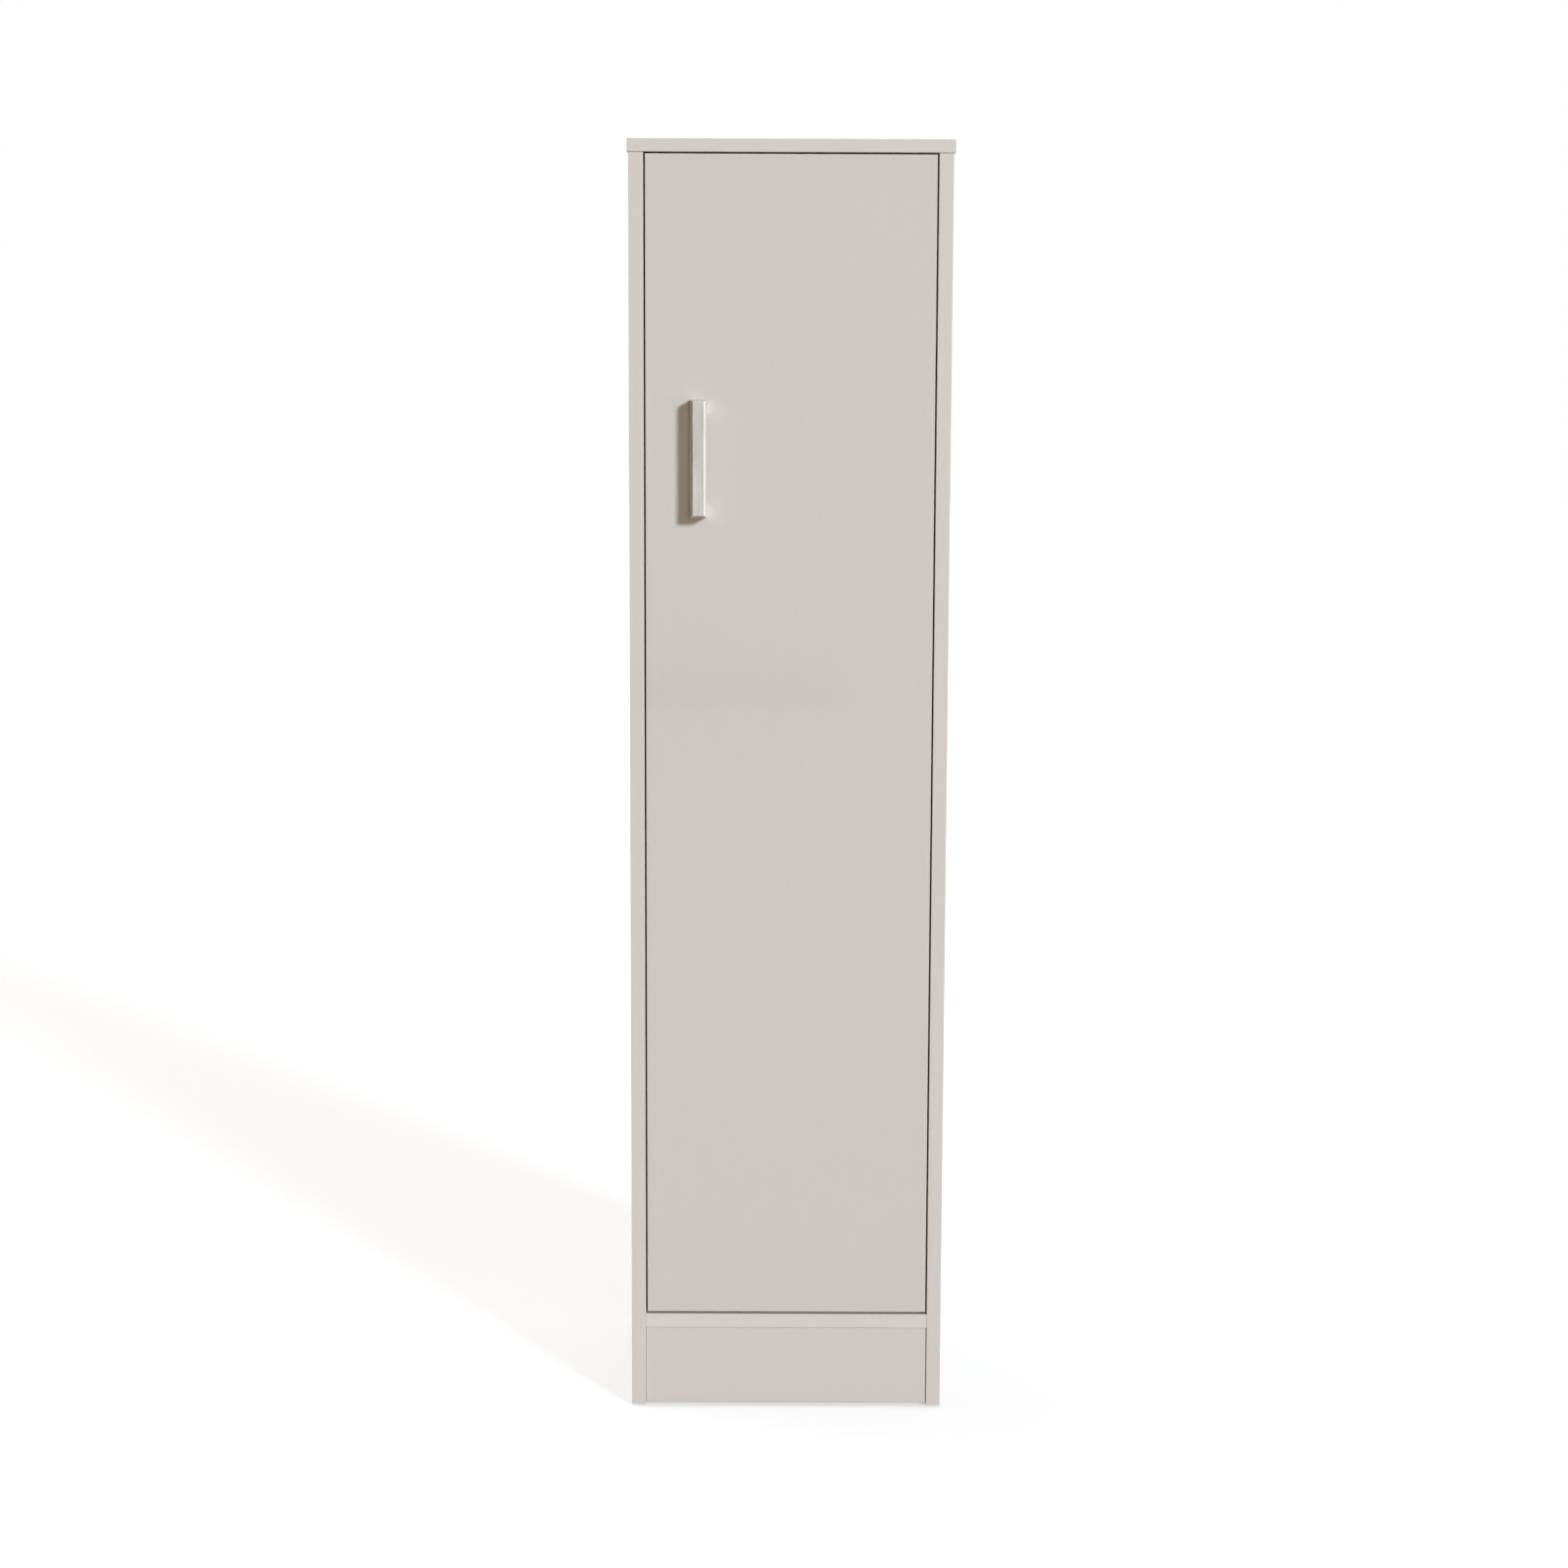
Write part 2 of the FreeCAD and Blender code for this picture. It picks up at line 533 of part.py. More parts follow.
def inner_board(label, front, under, extra=None):
    """A board between the side panels, from the given front to the back panel."""
    body = new_body(label)
    depth = f"Places.back_front - Sizes.groove_play - ({front})"
    sketch = new_sketch(body, "XY_Plane")
    rectangle(sketch, "0", "0", "Places.inner_width", depth)
    blank = pad(body, sketch, "Sizes.board")
    round_edges(body, blank, lambda middle, way: middle.y < 0.01 and abs(way.x) > 0.9,
                "Sizes.edge_round")
    bolts = [f"{y} - ({front})" for y in BOLT_LINES]
    dowels = [f"{y} - ({front})" for y in DOWEL_LINES]
    reaches = ("Sizes.bolt_reach", "Places.inner_width - Sizes.bolt_reach")
    bores(body, "XY_Plane", "0", [(x, y) for x in reaches for y in bolts],
          "Sizes.cam_radius", "Sizes.cam_depth", reverse=True)
    for end, right in (("0", False), ("Places.inner_width", True)):
        bores(body, "YZ_Plane", end, [(y, "Sizes.board / 2") for y in bolts],
              "Sizes.shank_hole", "Sizes.bolt_reach", reverse=not right)
        bores(body, "YZ_Plane", end, [(y, "Sizes.board / 2") for y in dowels],
              "Sizes.dowel_radius", END_DOWEL_DEPTH, reverse=not right)
    if extra is not None:
        extra(body, depth)
    place(body, "-Places.inner_width / 2", f"Places.front + {front}", under)
    nodes.append(body)


BACK_NAIL_LINES = ("Sizes.back_nail_inset", "Places.inner_width / 2",
                   "Places.inner_width - Sizes.back_nail_inset")


def back_nail_bores(body, depth):
    """Holes in the bottom board's rear edge for the nails through the back panel."""
    bores(body, "XZ_Plane", f"-({depth})", [(x, "Sizes.board / 2") for x in BACK_NAIL_LINES],
          "Sizes.back_nail_radius + Sizes.fit", "Sizes.back_nail_length + Sizes.end_play",
          reverse=True)


inner_board("bottom_board", "0", "Places.bottom_under", back_nail_bores)
inner_board("upper_shelf", "Places.shelf_front", "Places.shelf_under")


# ------------------------------------------------------------------ plinth board

def plinth_board():
    """Closes the space under the bottom board, a little behind the side panels' edges."""
    body = new_body("plinth_board")
    sketch = new_sketch(body, "XY_Plane")
    rectangle(sketch, "Sizes.plinth_play", "0", "Places.inner_width - Sizes.plinth_play",
              "Sizes.plinth_thick")
    blank = pad(body, sketch, "Sizes.plinth_height")
    round_edges(body, blank, lambda middle, way: middle.y < 0.01 and abs(way.x) > 0.9,
                "Sizes.edge_round")
    foot = f"{BRACE_FOOT} - Sizes.glide_height - Sizes.plinth_lift"
    lines = ("Sizes.brace_screw_line", f"Places.inner_width - Sizes.brace_screw_line")
    bores(body, "XZ_Plane", "-Sizes.plinth_thick",
          [(x, f"{foot} + {z}") for x in lines for z in BRACE_SCREWS],
          "Sizes.screw_radius + Sizes.fit", SCREW_DEPTH, reverse=True)
    place(body, "-Places.inner_width / 2", "Places.front + Sizes.plinth_recess",
          "Sizes.glide_height + Sizes.plinth_lift")
    nodes.append(body)


plinth_board()


# ------------------------------------------------------------------ back panel

ANCHOR_LEVEL = "Places.under_top - Sizes.anchor_drop"


def back_panel():
    """Thin fibreboard, slid up through the side grooves and nailed to the bottom board."""
    body = new_body("back_panel")
    width = "(Places.inner_width + 2 * (Sizes.groove_depth - Sizes.groove_end_play))"
    height = ("Places.under_top + Sizes.top_groove_depth - Sizes.groove_end_play"
              " - Places.bottom_under")
    sketch = new_sketch(body, "XY_Plane")
    rectangle(sketch, "0", "0", width, "Sizes.back_thick")
    pad(body, sketch, height)
    into_groove = "Sizes.groove_depth - Sizes.groove_end_play"
    bores(body, "XZ_Plane", "0", [(f"{into_groove} + {x}", "Sizes.board / 2")
                                  for x in BACK_NAIL_LINES],
          "Sizes.back_nail_radius + Sizes.fit", "Sizes.back_thick")
    bores(body, "XZ_Plane", "0", [(f"{width} / 2", f"{ANCHOR_LEVEL} - Places.bottom_under")],
          "Sizes.anchor_radius", "Sizes.back_thick")
    place(body, f"-{width} / 2", "Places.front + Places.back_front", "Places.bottom_under")
    nodes.append(body)


back_panel()


# ------------------------------------------------------------------ door

def door_panel():
    """Its frame: X from its left edge, Y from its face, Z from its lower edge."""
    body = new_body("door_panel")
    sketch = new_sketch(body, "XY_Plane")
    rectangle(sketch, "0", "0", "Places.door_width", "Sizes.door_thick")
    blank = pad(body, sketch, "Places.door_height")
    round_edges(body, blank, lambda middle, way: abs(way.y) < 0.1, "Sizes.edge_round")
    levels = [f"{level} - Places.door_bottom" for level in HINGE_LEVELS]
    cup_line = "Places.door_width - Sizes.cup_tab - Sizes.cup_radius"
    rear = "-Sizes.door_thick"
    bores(body, "XZ_Plane", rear, [(cup_line, z) for z in levels],
          "Sizes.cup_radius", "Sizes.cup_depth", reverse=True)
    bores(body, "XZ_Plane", rear,
          [(f"{cup_line} - Sizes.cup_screw_offset", f"{z} {sign} Sizes.cup_screw_spread")
           for z in levels for sign in "+-"],
          "Sizes.screw_radius + Sizes.fit", SCREW_DEPTH, reverse=True)
    middle = "Sizes.handle_level - Places.door_bottom"
    bores(body, "XZ_Plane", "0",
          [("Sizes.handle_inset", f"{middle} {sign} Sizes.handle_centres / 2") for sign in "+-"],
          "Sizes.handle_screw_hole", "Sizes.door_thick")
    place(body, "Sizes.side_gap - Places.inner_width / 2", "Places.front", "Places.door_bottom")
    nodes.append(body)


door_panel()


# ------------------------------------------------------------------ handle

def handle():
    """A bow handle: a bevelled bar on two legs. Its frame is at its middle, on the door's face."""
    body = new_body("handle")
    half = "(Sizes.handle_centres + Sizes.handle_leg) / 2"
    inside = "(Sizes.handle_centres - Sizes.handle_leg) / 2"
    hollow = "-(Sizes.handle_reach - Sizes.handle_bar)"
    sketch = new_sketch(body, "YZ_Plane")
    outline(sketch, [
        ("0", f"-{half}"), ("0", f"-{inside}"), (hollow, f"-{inside}"), (hollow, inside),
        ("0", inside), ("0", half), ("-Sizes.handle_reach", half), ("-Sizes.handle_reach", f"-{half}"),
    ])
    blank = pad(body, sketch, "Sizes.handle_width", midplane=True)
    face = -number("Sizes.handle_reach")
    inner_face = number(hollow)
    round_edges(body, blank, lambda middle, way: abs(way.x) > 0.9
                and abs(middle.y - inner_face) < 0.01, "Sizes.handle_inner_round")
    bevel_edges(body, body.Tip, lambda middle, way: middle.y < face + 0.01, "Sizes.handle_bevel")
    bores(body, "XZ_Plane", "0", [("0", f"{sign}Sizes.handle_centres / 2") for sign in ("", "-")],
          "Sizes.handle_bore", "Sizes.handle_bore_depth", reverse=True)
    place(body, "Places.handle_x", "Places.front", "Sizes.handle_level")
    nodes.append(body)


handle()


# ------------------------------------------------------------------ cam bolts, dowels, cam locks

LEFT_FACE = "-Places.inner_width / 2"
RIGHT_FACE = "Places.inner_width / 2"


def from_front(formula):
    return f"Places.front + {formula}"


def knock_down_spots(lines):
    """Where boards meet: inner boards against both sides, and the top board on the sides."""
    spots = []
    for y in lines:
        for z in BOARD_MIDDLES:
            spots.append((LEFT_FACE, from_front(y), z, UP))
            spots.append((RIGHT_FACE, from_front(y), z, TURNED))
        for sign in "-+":
            x = f"{sign}(Sizes.body_width - Sizes.board) / 2"
            spots.append((x, from_front(y), "Places.under_top", TO_RIGHT))
    return spots


def cam_bolt():
    """Along +X: threaded end behind the face, collar, shank, neck and round head beyond it."""
    thread = cylinder("Sizes.bolt_hole - Sizes.fit", "Sizes.bolt_bite", "-Sizes.bolt_bite",
                      along=TO_RIGHT)
    collar = cylinder("Sizes.bolt_collar", "Sizes.bolt_collar_length", along=TO_RIGHT)
    shank = cylinder("Sizes.bolt_shank", "Sizes.bolt_reach - Sizes.cam_radius", along=TO_RIGHT)
    neck = cylinder("Sizes.bolt_neck", "Sizes.bolt_reach", along=TO_RIGHT)
    head = "Sizes.bolt_reach - Sizes.bolt_head / 2"
    near = cone("Sizes.bolt_neck", "Sizes.bolt_head", "Sizes.bolt_head / 2", head, along=TO_RIGHT)
    far = cone("Sizes.bolt_head", "Sizes.bolt_neck", "Sizes.bolt_head / 2", "Sizes.bolt_reach",
               along=TO_RIGHT)
    return fuse("cam_bolt", thread, collar, shank, neck, near, far)


def wood_dowel():
    """Along +X: its shorter length behind the face, with both ends chamfered."""
    radius = "Sizes.dowel_radius - Sizes.fit"
    chamfer = "Sizes.dowel_radius / 4"
    tip = f"{radius} - {chamfer}"
    near = cone(tip, radius, chamfer, "-Sizes.dowel_bite", along=TO_RIGHT)
    middle = cylinder(radius, f"Sizes.dowel_length - 2 * {chamfer}",
                      f"{chamfer} - Sizes.dowel_bite", along=TO_RIGHT)
    far = cone(radius, tip, chamfer, f"Sizes.dowel_length - Sizes.dowel_bite - {chamfer}",
               along=TO_RIGHT)
    return fuse("wood_dowel", near, middle, far)


def cam_lock():
    """A drum along +Z, flush at z = 0, that takes the bolt's head through its side from +X."""
    drum = cylinder("Sizes.cam_radius - Sizes.fit", "Sizes.cam_depth - Sizes.end_play")
    room = "(Sizes.bolt_head + Sizes.link_play)"
    window = box(f"-{room}", f"-{room}", f"Sizes.board / 2 - {room}",
                 "Sizes.cam_radius", room, "Sizes.cam_depth")
    half = "Sizes.cam_slot / 2"
    reach = "Sizes.cam_slot_reach"
    slots = [box(f"-{reach}", f"-{half}", "0", reach, half, "Sizes.cam_slot_depth"),
             box(f"-{half}", f"-{reach}", "0", half, reach, "Sizes.cam_slot_depth")]
    return cut("cam_lock", drum, window, *slots)


def cam_lock_spots():
    into_left = TO_LEFT
    into_right = TURNED * TO_LEFT
    spots = []
    for y in BOLT_LINES:
        for z in ("Places.bottom_under", "Places.shelf_under"):
            spots.append((f"{LEFT_FACE} + Sizes.bolt_reach", from_front(y), z, TURNED))
            spots.append((f"{RIGHT_FACE} - Sizes.bolt_reach", from_front(y), z, UP))
        level = "Places.under_top - Sizes.bolt_reach"
        spots.append((LEFT_FACE, from_front(y), level, into_left))
        spots.append((RIGHT_FACE, from_front(y), level, into_right))
    return spots


copies("cam_bolts", cam_bolt(), knock_down_spots(BOLT_LINES))
copies("wood_dowels", wood_dowel(), knock_down_spots(DOWEL_LINES))
copies("cam_locks", cam_lock(), cam_lock_spots())


# ------------------------------------------------------------------ screws and nails

# How a screw's and a nail's own shape follows from their radii.
RECESS_REACH = 0.55      # cross recess, of the head's radius
POINT_LENGTH = 2         # point, of the shank's radius
SHARP_TIP = 0.15         # end of a screw's point, of the shank's radius
BLUNT_LENGTH = 0.3       # chamfer of a blunt screw, of the shank's radius
BLUNT_TIP = 0.7          # its end, of the shank's radius
CROWN_TOP = 0.72         # top of the head, of the head's radius
CROWN_HEIGHT = 0.45      # sloping part of the head, of its height


def cross_recess(radius, head_height):
    """The cross slot of a screw whose head ends at z = -head_height."""
    half = "Sizes.recess_slot / 2"
    reach = f"{radius} * {RECESS_REACH}"
    foot = f"-({head_height}) / 3"
    top = f"-({head_height})"
    return [box(f"-{reach}", f"-{half}", top, reach, half, foot),
            box(f"-{half}", f"-{reach}", top, half, reach, foot)]


def screw(label, shank, grip, head, head_height, pointed):
    """Along +Z: its head's seat is at z = 0, and its shank runs on from there."""
    point = f"({shank}) * {POINT_LENGTH if pointed else BLUNT_LENGTH}"
    tip = f"({shank}) * {SHARP_TIP if pointed else BLUNT_TIP}"
    stem = cylinder(shank, f"{grip} - {point}")
    end = cone(shank, tip, point, z=f"{grip} - {point}")
    crown_height = f"({head_height}) * {CROWN_HEIGHT}"
    rim_height = f"({head_height} - {crown_height})"
    crown = cone(f"{head} * {CROWN_TOP}", head, crown_height, z=f"-({head_height})")
    rim = cylinder(head, rim_height, z=f"-{rim_height}")
    blank = fuse(label + "_blank", stem, end, crown, rim)
    return cut(label, blank, *cross_recess(head, head_height))


def nail(label, shank, length, head, head_height):
    point = f"{shank} * {POINT_LENGTH}"
    stem = cylinder(shank, f"{length} - {point}")
    tip = cone(shank, f"{shank} * {SHARP_TIP}", point, z=f"{length} - {point}")
    disc = cylinder(head, head_height, z=f"-({head_height})")
    return fuse(label, stem, tip, disc)


def small_screw(label, sheet):
    """A small wood screw that holds down a sheet of the given thickness."""
    return screw(label, "Sizes.screw_radius", f"({sheet} + Sizes.screw_bite)",
                 "Sizes.screw_head", "Sizes.screw_head_height", pointed=True)


# ------------------------------------------------------------------ floor glides

def floor_glide():
    """A plastic disc with a bevelled foot and a sunk hole for its nail."""
    bevel = "Sizes.glide_height / 3"
    foot = cone(f"Sizes.glide_radius - {bevel}", "Sizes.glide_radius", bevel)
    disc = cylinder("Sizes.glide_radius", f"Sizes.glide_height - {bevel}", z=bevel)
    hole = cylinder("Sizes.nail_radius + Sizes.fit", "Sizes.glide_height")
    sink = cylinder("Sizes.nail_head + Sizes.fit", "Sizes.glide_height / 2")
    return cut("floor_glide", fuse("floor_glide_blank", foot, disc), hole, sink)


def glide_spots(level):
    return [(f"{sign}(Sizes.body_width - Sizes.board) / 2", from_front(y), level, UP)
            for sign in "-+" for y in GLIDE_LINES]


copies("floor_glides", floor_glide(), glide_spots("0"))
copies("glide_nails",
       nail("glide_nail", "Sizes.nail_radius", "(Sizes.glide_height / 2 + Sizes.nail_length)",
            "Sizes.nail_head", "Sizes.nail_head_height"),
       glide_spots("Sizes.glide_height / 2"))


# ------------------------------------------------------------------ plinth braces

def plinth_brace():
    """A moulded angle with a web. One leg lies along +X, the other along +Y."""
    body = new_body("plinth_brace")
    leg, thick = "Sizes.brace_leg", "Sizes.brace_thick"
    sketch = new_sketch(body, "XY_Plane")
    outline(sketch, [("0", "0"), (leg, "0"), (leg, thick), (thick, thick), (thick, leg), ("0", leg)])
    pad(body, sketch, "Sizes.brace_height")
    sketch = new_sketch(body, "XY_Plane", f"(Sizes.brace_height - {thick}) / 2")
    outline(sketch, [("0", "0"), (f"{leg} - {thick}", "0"), ("0", f"{leg} - {thick}")])
    pad(body, sketch, thick)
    hole = "Sizes.screw_radius + Sizes.fit"
    centres = [("Sizes.brace_screw_line", z) for z in BRACE_SCREWS]
    bores(body, "XZ_Plane", "0", centres, hole, thick)
    bores(body, "YZ_Plane", "0", centres, hole, thick, reverse=True)
    return body


REAR_OF_PLINTH = from_front(PLINTH_REAR)
copies("plinth_braces", plinth_brace(),
       [(LEFT_FACE, REAR_OF_PLINTH, BRACE_FOOT, UP), (RIGHT_FACE, REAR_OF_PLINTH, BRACE_FOOT, QUARTER)])


def brace_screw_spots():
    spots = []
    for level in BRACE_SCREWS:
        z = f"{BRACE_FOOT} + {level}"
        seat = f"{REAR_OF_PLINTH} + Sizes.brace_thick"
        spots.append((f"{LEFT_FACE} + Sizes.brace_screw_line", seat, z, TO_FRONT))
        spots.append((f"{RIGHT_FACE} - Sizes.brace_screw_line", seat, z, TO_FRONT))
        y = f"{REAR_OF_PLINTH} + Sizes.brace_screw_line"
        spots.append((f"{LEFT_FACE} + Sizes.brace_thick", y, z, TO_LEFT))
        spots.append((f"{RIGHT_FACE} - Sizes.brace_thick", y, z, TO_RIGHT))
    return spots


copies("plinth_brace_screws", small_screw("brace_screw", "Sizes.brace_thick"), brace_screw_spots())


# ------------------------------------------------------------------ nails of the back panel

copies("back_nails",
       nail("back_nail", "Sizes.back_nail_radius", "(Sizes.back_thick + Sizes.back_nail_length)",
            "Sizes.nail_head", "Sizes.nail_head_height"),
       [(f"{LEFT_FACE} + {x}", from_front("Places.back_front + Sizes.back_thick"),
         "Places.bottom_under + Sizes.board / 2", TO_FRONT) for x in BACK_NAIL_LINES])


# ------------------------------------------------------------------ wall bracket

def wall_bracket():
    """A steel angle under the top board, against the back panel, with the wall screw's hole."""
    body = new_body("wall_bracket")
    leg, thick = "Sizes.bracket_leg", "Sizes.bracket_thick"
    sketch = new_sketch(body, "YZ_Plane")
    outline(sketch, [("0", "0"), (f"-{leg}", "0"), (f"-{leg}", f"-{thick}"),
                     (f"-{thick}", f"-{thick}"), (f"-{thick}", f"-{leg}"), ("0", f"-{leg}")])
    pad(body, sketch, "Sizes.bracket_width", midplane=True)
    bores(body, "XZ_Plane", "0", [("0", "-Sizes.anchor_drop")],
          "Sizes.anchor_radius", thick, reverse=True)
    bores(body, "XY_Plane", "0",
          [(f"{sign}Sizes.bracket_screw_spread", "-Sizes.bracket_screw_line")
           for sign in ("-", "")],
          "Sizes.screw_radius + Sizes.fit", thick)
    place(body, "0", from_front("Places.back_front"), "Places.under_top")
    nodes.append(body)


wall_bracket()
copies("wall_bracket_screws", small_screw("bracket_screw", "Sizes.bracket_thick"),
       [(f"{sign}Sizes.bracket_screw_spread",
         from_front("Places.back_front - Sizes.bracket_screw_line"),
         "Places.under_top - Sizes.bracket_thick", UP) for sign in "-+"])


# ------------------------------------------------------------------ door bumpers

def door_bumper():
    """A soft clear dome along +Z, stuck to the shelf's front edge."""
    height = "(Sizes.shelf_setback - Sizes.bumper_play)"
    disc = cylinder("Sizes.bumper_radius", f"{height} / 2")
    dome = cone("Sizes.bumper_radius", "Sizes.bumper_tip", f"{height} / 2",
                z=f"{height} / 2")
    return fuse("door_bumper", disc, dome)


copies("door_bumpers", door_bumper(),
       [(f"{sign}(Places.inner_width / 2 - Sizes.bumper_inset)", from_front("Places.shelf_front"),
         "Places.shelf_under + Sizes.board / 2", TO_FRONT) for sign in "-+"])


# ------------------------------------------------------------------ handle screws

copies("handle_screws",
       screw("handle_screw", "Sizes.handle_bore - Sizes.fit",
             "(Sizes.door_thick + Sizes.handle_screw_bite)",
             "Sizes.handle_screw_head", "Sizes.screw_head_height", pointed=False),
       [("Places.handle_x", from_front("Sizes.door_thick"),
         f"Sizes.handle_level {sign} Sizes.handle_centres / 2", TO_FRONT) for sign in "-+"])


# ------------------------------------------------------------------ hinges
# Their frame: origin where the side panel's inner face meets the body's front, at the hinge's
# middle height. The door turns about the vertical line at its own front corner. The arm link is
# parallel to the line from there to the cup pivot, and the cup link to the line from there to
# the arm pivot, so both links stay in step with the door at every angle.

CUP_X = "Places.cup_x"
DOOR_REAR = "Sizes.door_thick"
CUP_OUTER = "Sizes.cup_radius - Sizes.cup_play"
CUP_FLOOR = "Sizes.door_thick - Sizes.cup_depth + Sizes.end_play"
PIN_HOLE = "Sizes.pin_radius + Sizes.fit"


def hinge_spots():
    return [("Places.side_face", "Places.front", level, UP) for level in HINGE_LEVELS]


def bar(x0, y0, x1, y1, half, z0, z1):
    """A flat bar from one point to another, with square ends."""
    angle = f"atan2(({y1}) - ({y0}); ({x1}) - ({x0}))"
    thing = doc.addObject("Part::Box", "bar")
    bind(thing, "Length", f"hypot(({x1}) - ({x0}); ({y1}) - ({y0}))")
    bind(thing, "Width", f"2 * ({half})")
    bind(thing, "Height", f"({z1}) - ({z0})")
    place(thing, f"({x0}) + ({half}) * sin({angle})", f"({y0}) - ({half}) * cos({angle})", z0)
    thing.Placement.Rotation.Axis = Vector(0, 0, 1)
    bind(thing, "Placement.Rotation.Angle", angle)
    return thing


def eye(x, y, radius, half):
    """A disc about the hinge's middle height, or the hole through one."""
    return cylinder(radius, f"2 * ({half})", x, y, f"-({half})")


def hinge_cup():
    ring = cylinder("Sizes.cup_radius + Sizes.cup_lip", "Sizes.flange_thick", CUP_X, DOOR_REAR,
                    along=TO_REAR)
    screw_x = f"{CUP_X} - Sizes.cup_screw_offset"
    half_width = "Sizes.flange_width / 2"
    end = f"(Sizes.flange_half - {half_width})"
    top = f"{DOOR_REAR} + Sizes.flange_thick"
    wing = box(f"{screw_x} - {half_width}", DOOR_REAR, f"-{end}",
               f"{screw_x} + {half_width}", top, end)
    tips = [cylinder(half_width, "Sizes.flange_thick", screw_x, DOOR_REAR, f"{sign}{end}",
                     along=TO_REAR) for sign in ("-", "")]
    bowl = cylinder(CUP_OUTER, f"{top} - ({CUP_FLOOR})", CUP_X, CUP_FLOOR, along=TO_REAR)
    blank = fuse("hinge_cup_blank", ring, wing, bowl, *tips)
    hollow = cylinder(f"{CUP_OUTER} - Sizes.cup_wall", "2 * Sizes.cup_depth", CUP_X,
                      f"{CUP_FLOOR} + Sizes.cup_wall", along=TO_REAR)
    holes = [cylinder("Sizes.screw_radius + Sizes.fit", "Sizes.flange_thick", screw_x, DOOR_REAR,
                      f"{sign}Sizes.cup_screw_spread", along=TO_REAR) for sign in ("-", "")]
    pin_hole = eye(CUP_X, "Places.pivot_y", PIN_HOLE, "Sizes.cup_radius")
    return cut("hinge_cup", blank, hollow, pin_hole, *holes)


def crank_point(run, rise):
    """A point beside the cup link's line: run along it from the cup pivot, rise to its left."""
    x = (f"Places.cup_x + ({run} * Places.link_x - {rise} * Places.link_y)"
         " / Sizes.cup_link_length")
    y = (f"Places.pivot_y + ({run} * Places.link_y + {rise} * Places.link_x)"
         " / Sizes.cup_link_length")
    return x, y


def hinge_cup_link():
    """A cranked steel link that reaches out of the cup and round the door's corner."""
    half = "Sizes.cup_link_half"
    side = "Sizes.cup_link_bar / 2"
    points = [
        ("Places.cup_x", "Places.pivot_y"),
        crank_point("Sizes.crank_near", "Sizes.crank_near_rise"),
        crank_point("Sizes.crank_far", "Sizes.crank_far_rise"),
        ("Places.elbow_x", "Places.elbow_y"),
    ]
    shapes = [bar(*start, *end, side, f"-{half}", half) for start, end in zip(points, points[1:])]
    shapes += [eye(x, y, side, half) for x, y in points[1:-1]]
    shapes += [eye(x, y, "Sizes.eye_radius", half) for x, y in (points[0], points[-1])]
    holes = [eye(x, y, PIN_HOLE, half) for x, y in (points[0], points[-1])]
    return cut("hinge_cup_link", fuse("hinge_cup_link_blank", *shapes), *holes)


def arm_link_point(run, rise):
    """A point beside the arm link's line: run along it from the arm pivot, rise to its left."""
    x = (f"Places.arm_x + ({run} * (Places.elbow_x - Places.arm_x)"
         f" - {rise} * (Places.elbow_y - Places.arm_y)) / Places.arm_link_length")
    y = (f"Places.arm_y + ({run} * (Places.elbow_y - Places.arm_y)"
         f" + {rise} * (Places.elbow_x - Places.arm_x)) / Places.arm_link_length")
    return x, y


def hinge_arm_link():
    """Two plates joined by a web along the side that the cup link never reaches."""
    arm = ("Places.arm_x", "Places.arm_y")
    elbow = ("Places.elbow_x", "Places.elbow_y")
    inner, outer = "Places.arm_link_inner", "Places.arm_link_outer"
    shapes = []
    for low, high in ((f"-{outer}", f"-{inner}"), (inner, outer)):
        shapes.append(bar(*arm, *elbow, "Sizes.eye_radius", low, high))
        shapes += [cylinder("Sizes.eye_radius", "Sizes.link_thick", x, y, low)
                   for x, y in (arm, elbow)]
    rise = "(Sizes.link_thick / 2 - Sizes.eye_radius)"
    clear = "Sizes.web_clear"
    shapes.append(bar(*arm_link_point(clear, rise),
                      *arm_link_point(f"(Places.arm_link_length - {clear})", rise),
                      "Sizes.link_thick / 2", f"-{outer}", outer))
    holes = [eye(x, y, PIN_HOLE, outer) for x, y in (arm, elbow)]
    return cut("hinge_arm_link", fuse("hinge_arm_link_blank", *shapes), *holes)


ARM_SCREW_LINES = {
    "hinge_fixing_screws": "Sizes.plate_line + Sizes.machine_screw_spread",
    "hinge_adjusting_screws": "Sizes.plate_line - Sizes.machine_screw_spread",
}
ARM_SCREW_GRIP = "(Sizes.link_thick + Sizes.arm_screw_bite)"


def hinge_arm():
    """A steel channel, open towards the side panel, with its pivot at the front."""
    high, low, outer, inner = "Sizes.arm_high", "Sizes.arm_low", "Places.arm_outer", "Places.arm_inner"
    web = f"{high} - Sizes.link_thick"
    boss = "Sizes.arm_nose"
    block = box(f"-{high}", "Places.arm_y", f"-{outer}", f"-{low}", "Sizes.arm_rear", outer)
    front = eye("Places.arm_x", "Places.arm_y", boss, outer)
    nose = f"Places.arm_y - {boss}"
    channel = box(f"-({web})", nose, f"-{inner}", "0", "Sizes.arm_rear", inner)
    mouth = box(f"-{high} - {boss}", nose, f"-{inner}", "0", "Places.arm_y + Sizes.arm_mouth", inner)
    pivot = eye("Places.arm_x", "Places.arm_y", PIN_HOLE, outer)
    holes = [cylinder("Sizes.machine_screw_radius + Sizes.fit", "2 * Sizes.link_thick",
                      f"-{high} - Sizes.link_thick / 2", y, along=TO_RIGHT)
             for y in ARM_SCREW_LINES.values()]
    return cut("hinge_arm", fuse("hinge_arm_blank", block, front), channel, mouth, pivot, *holes)


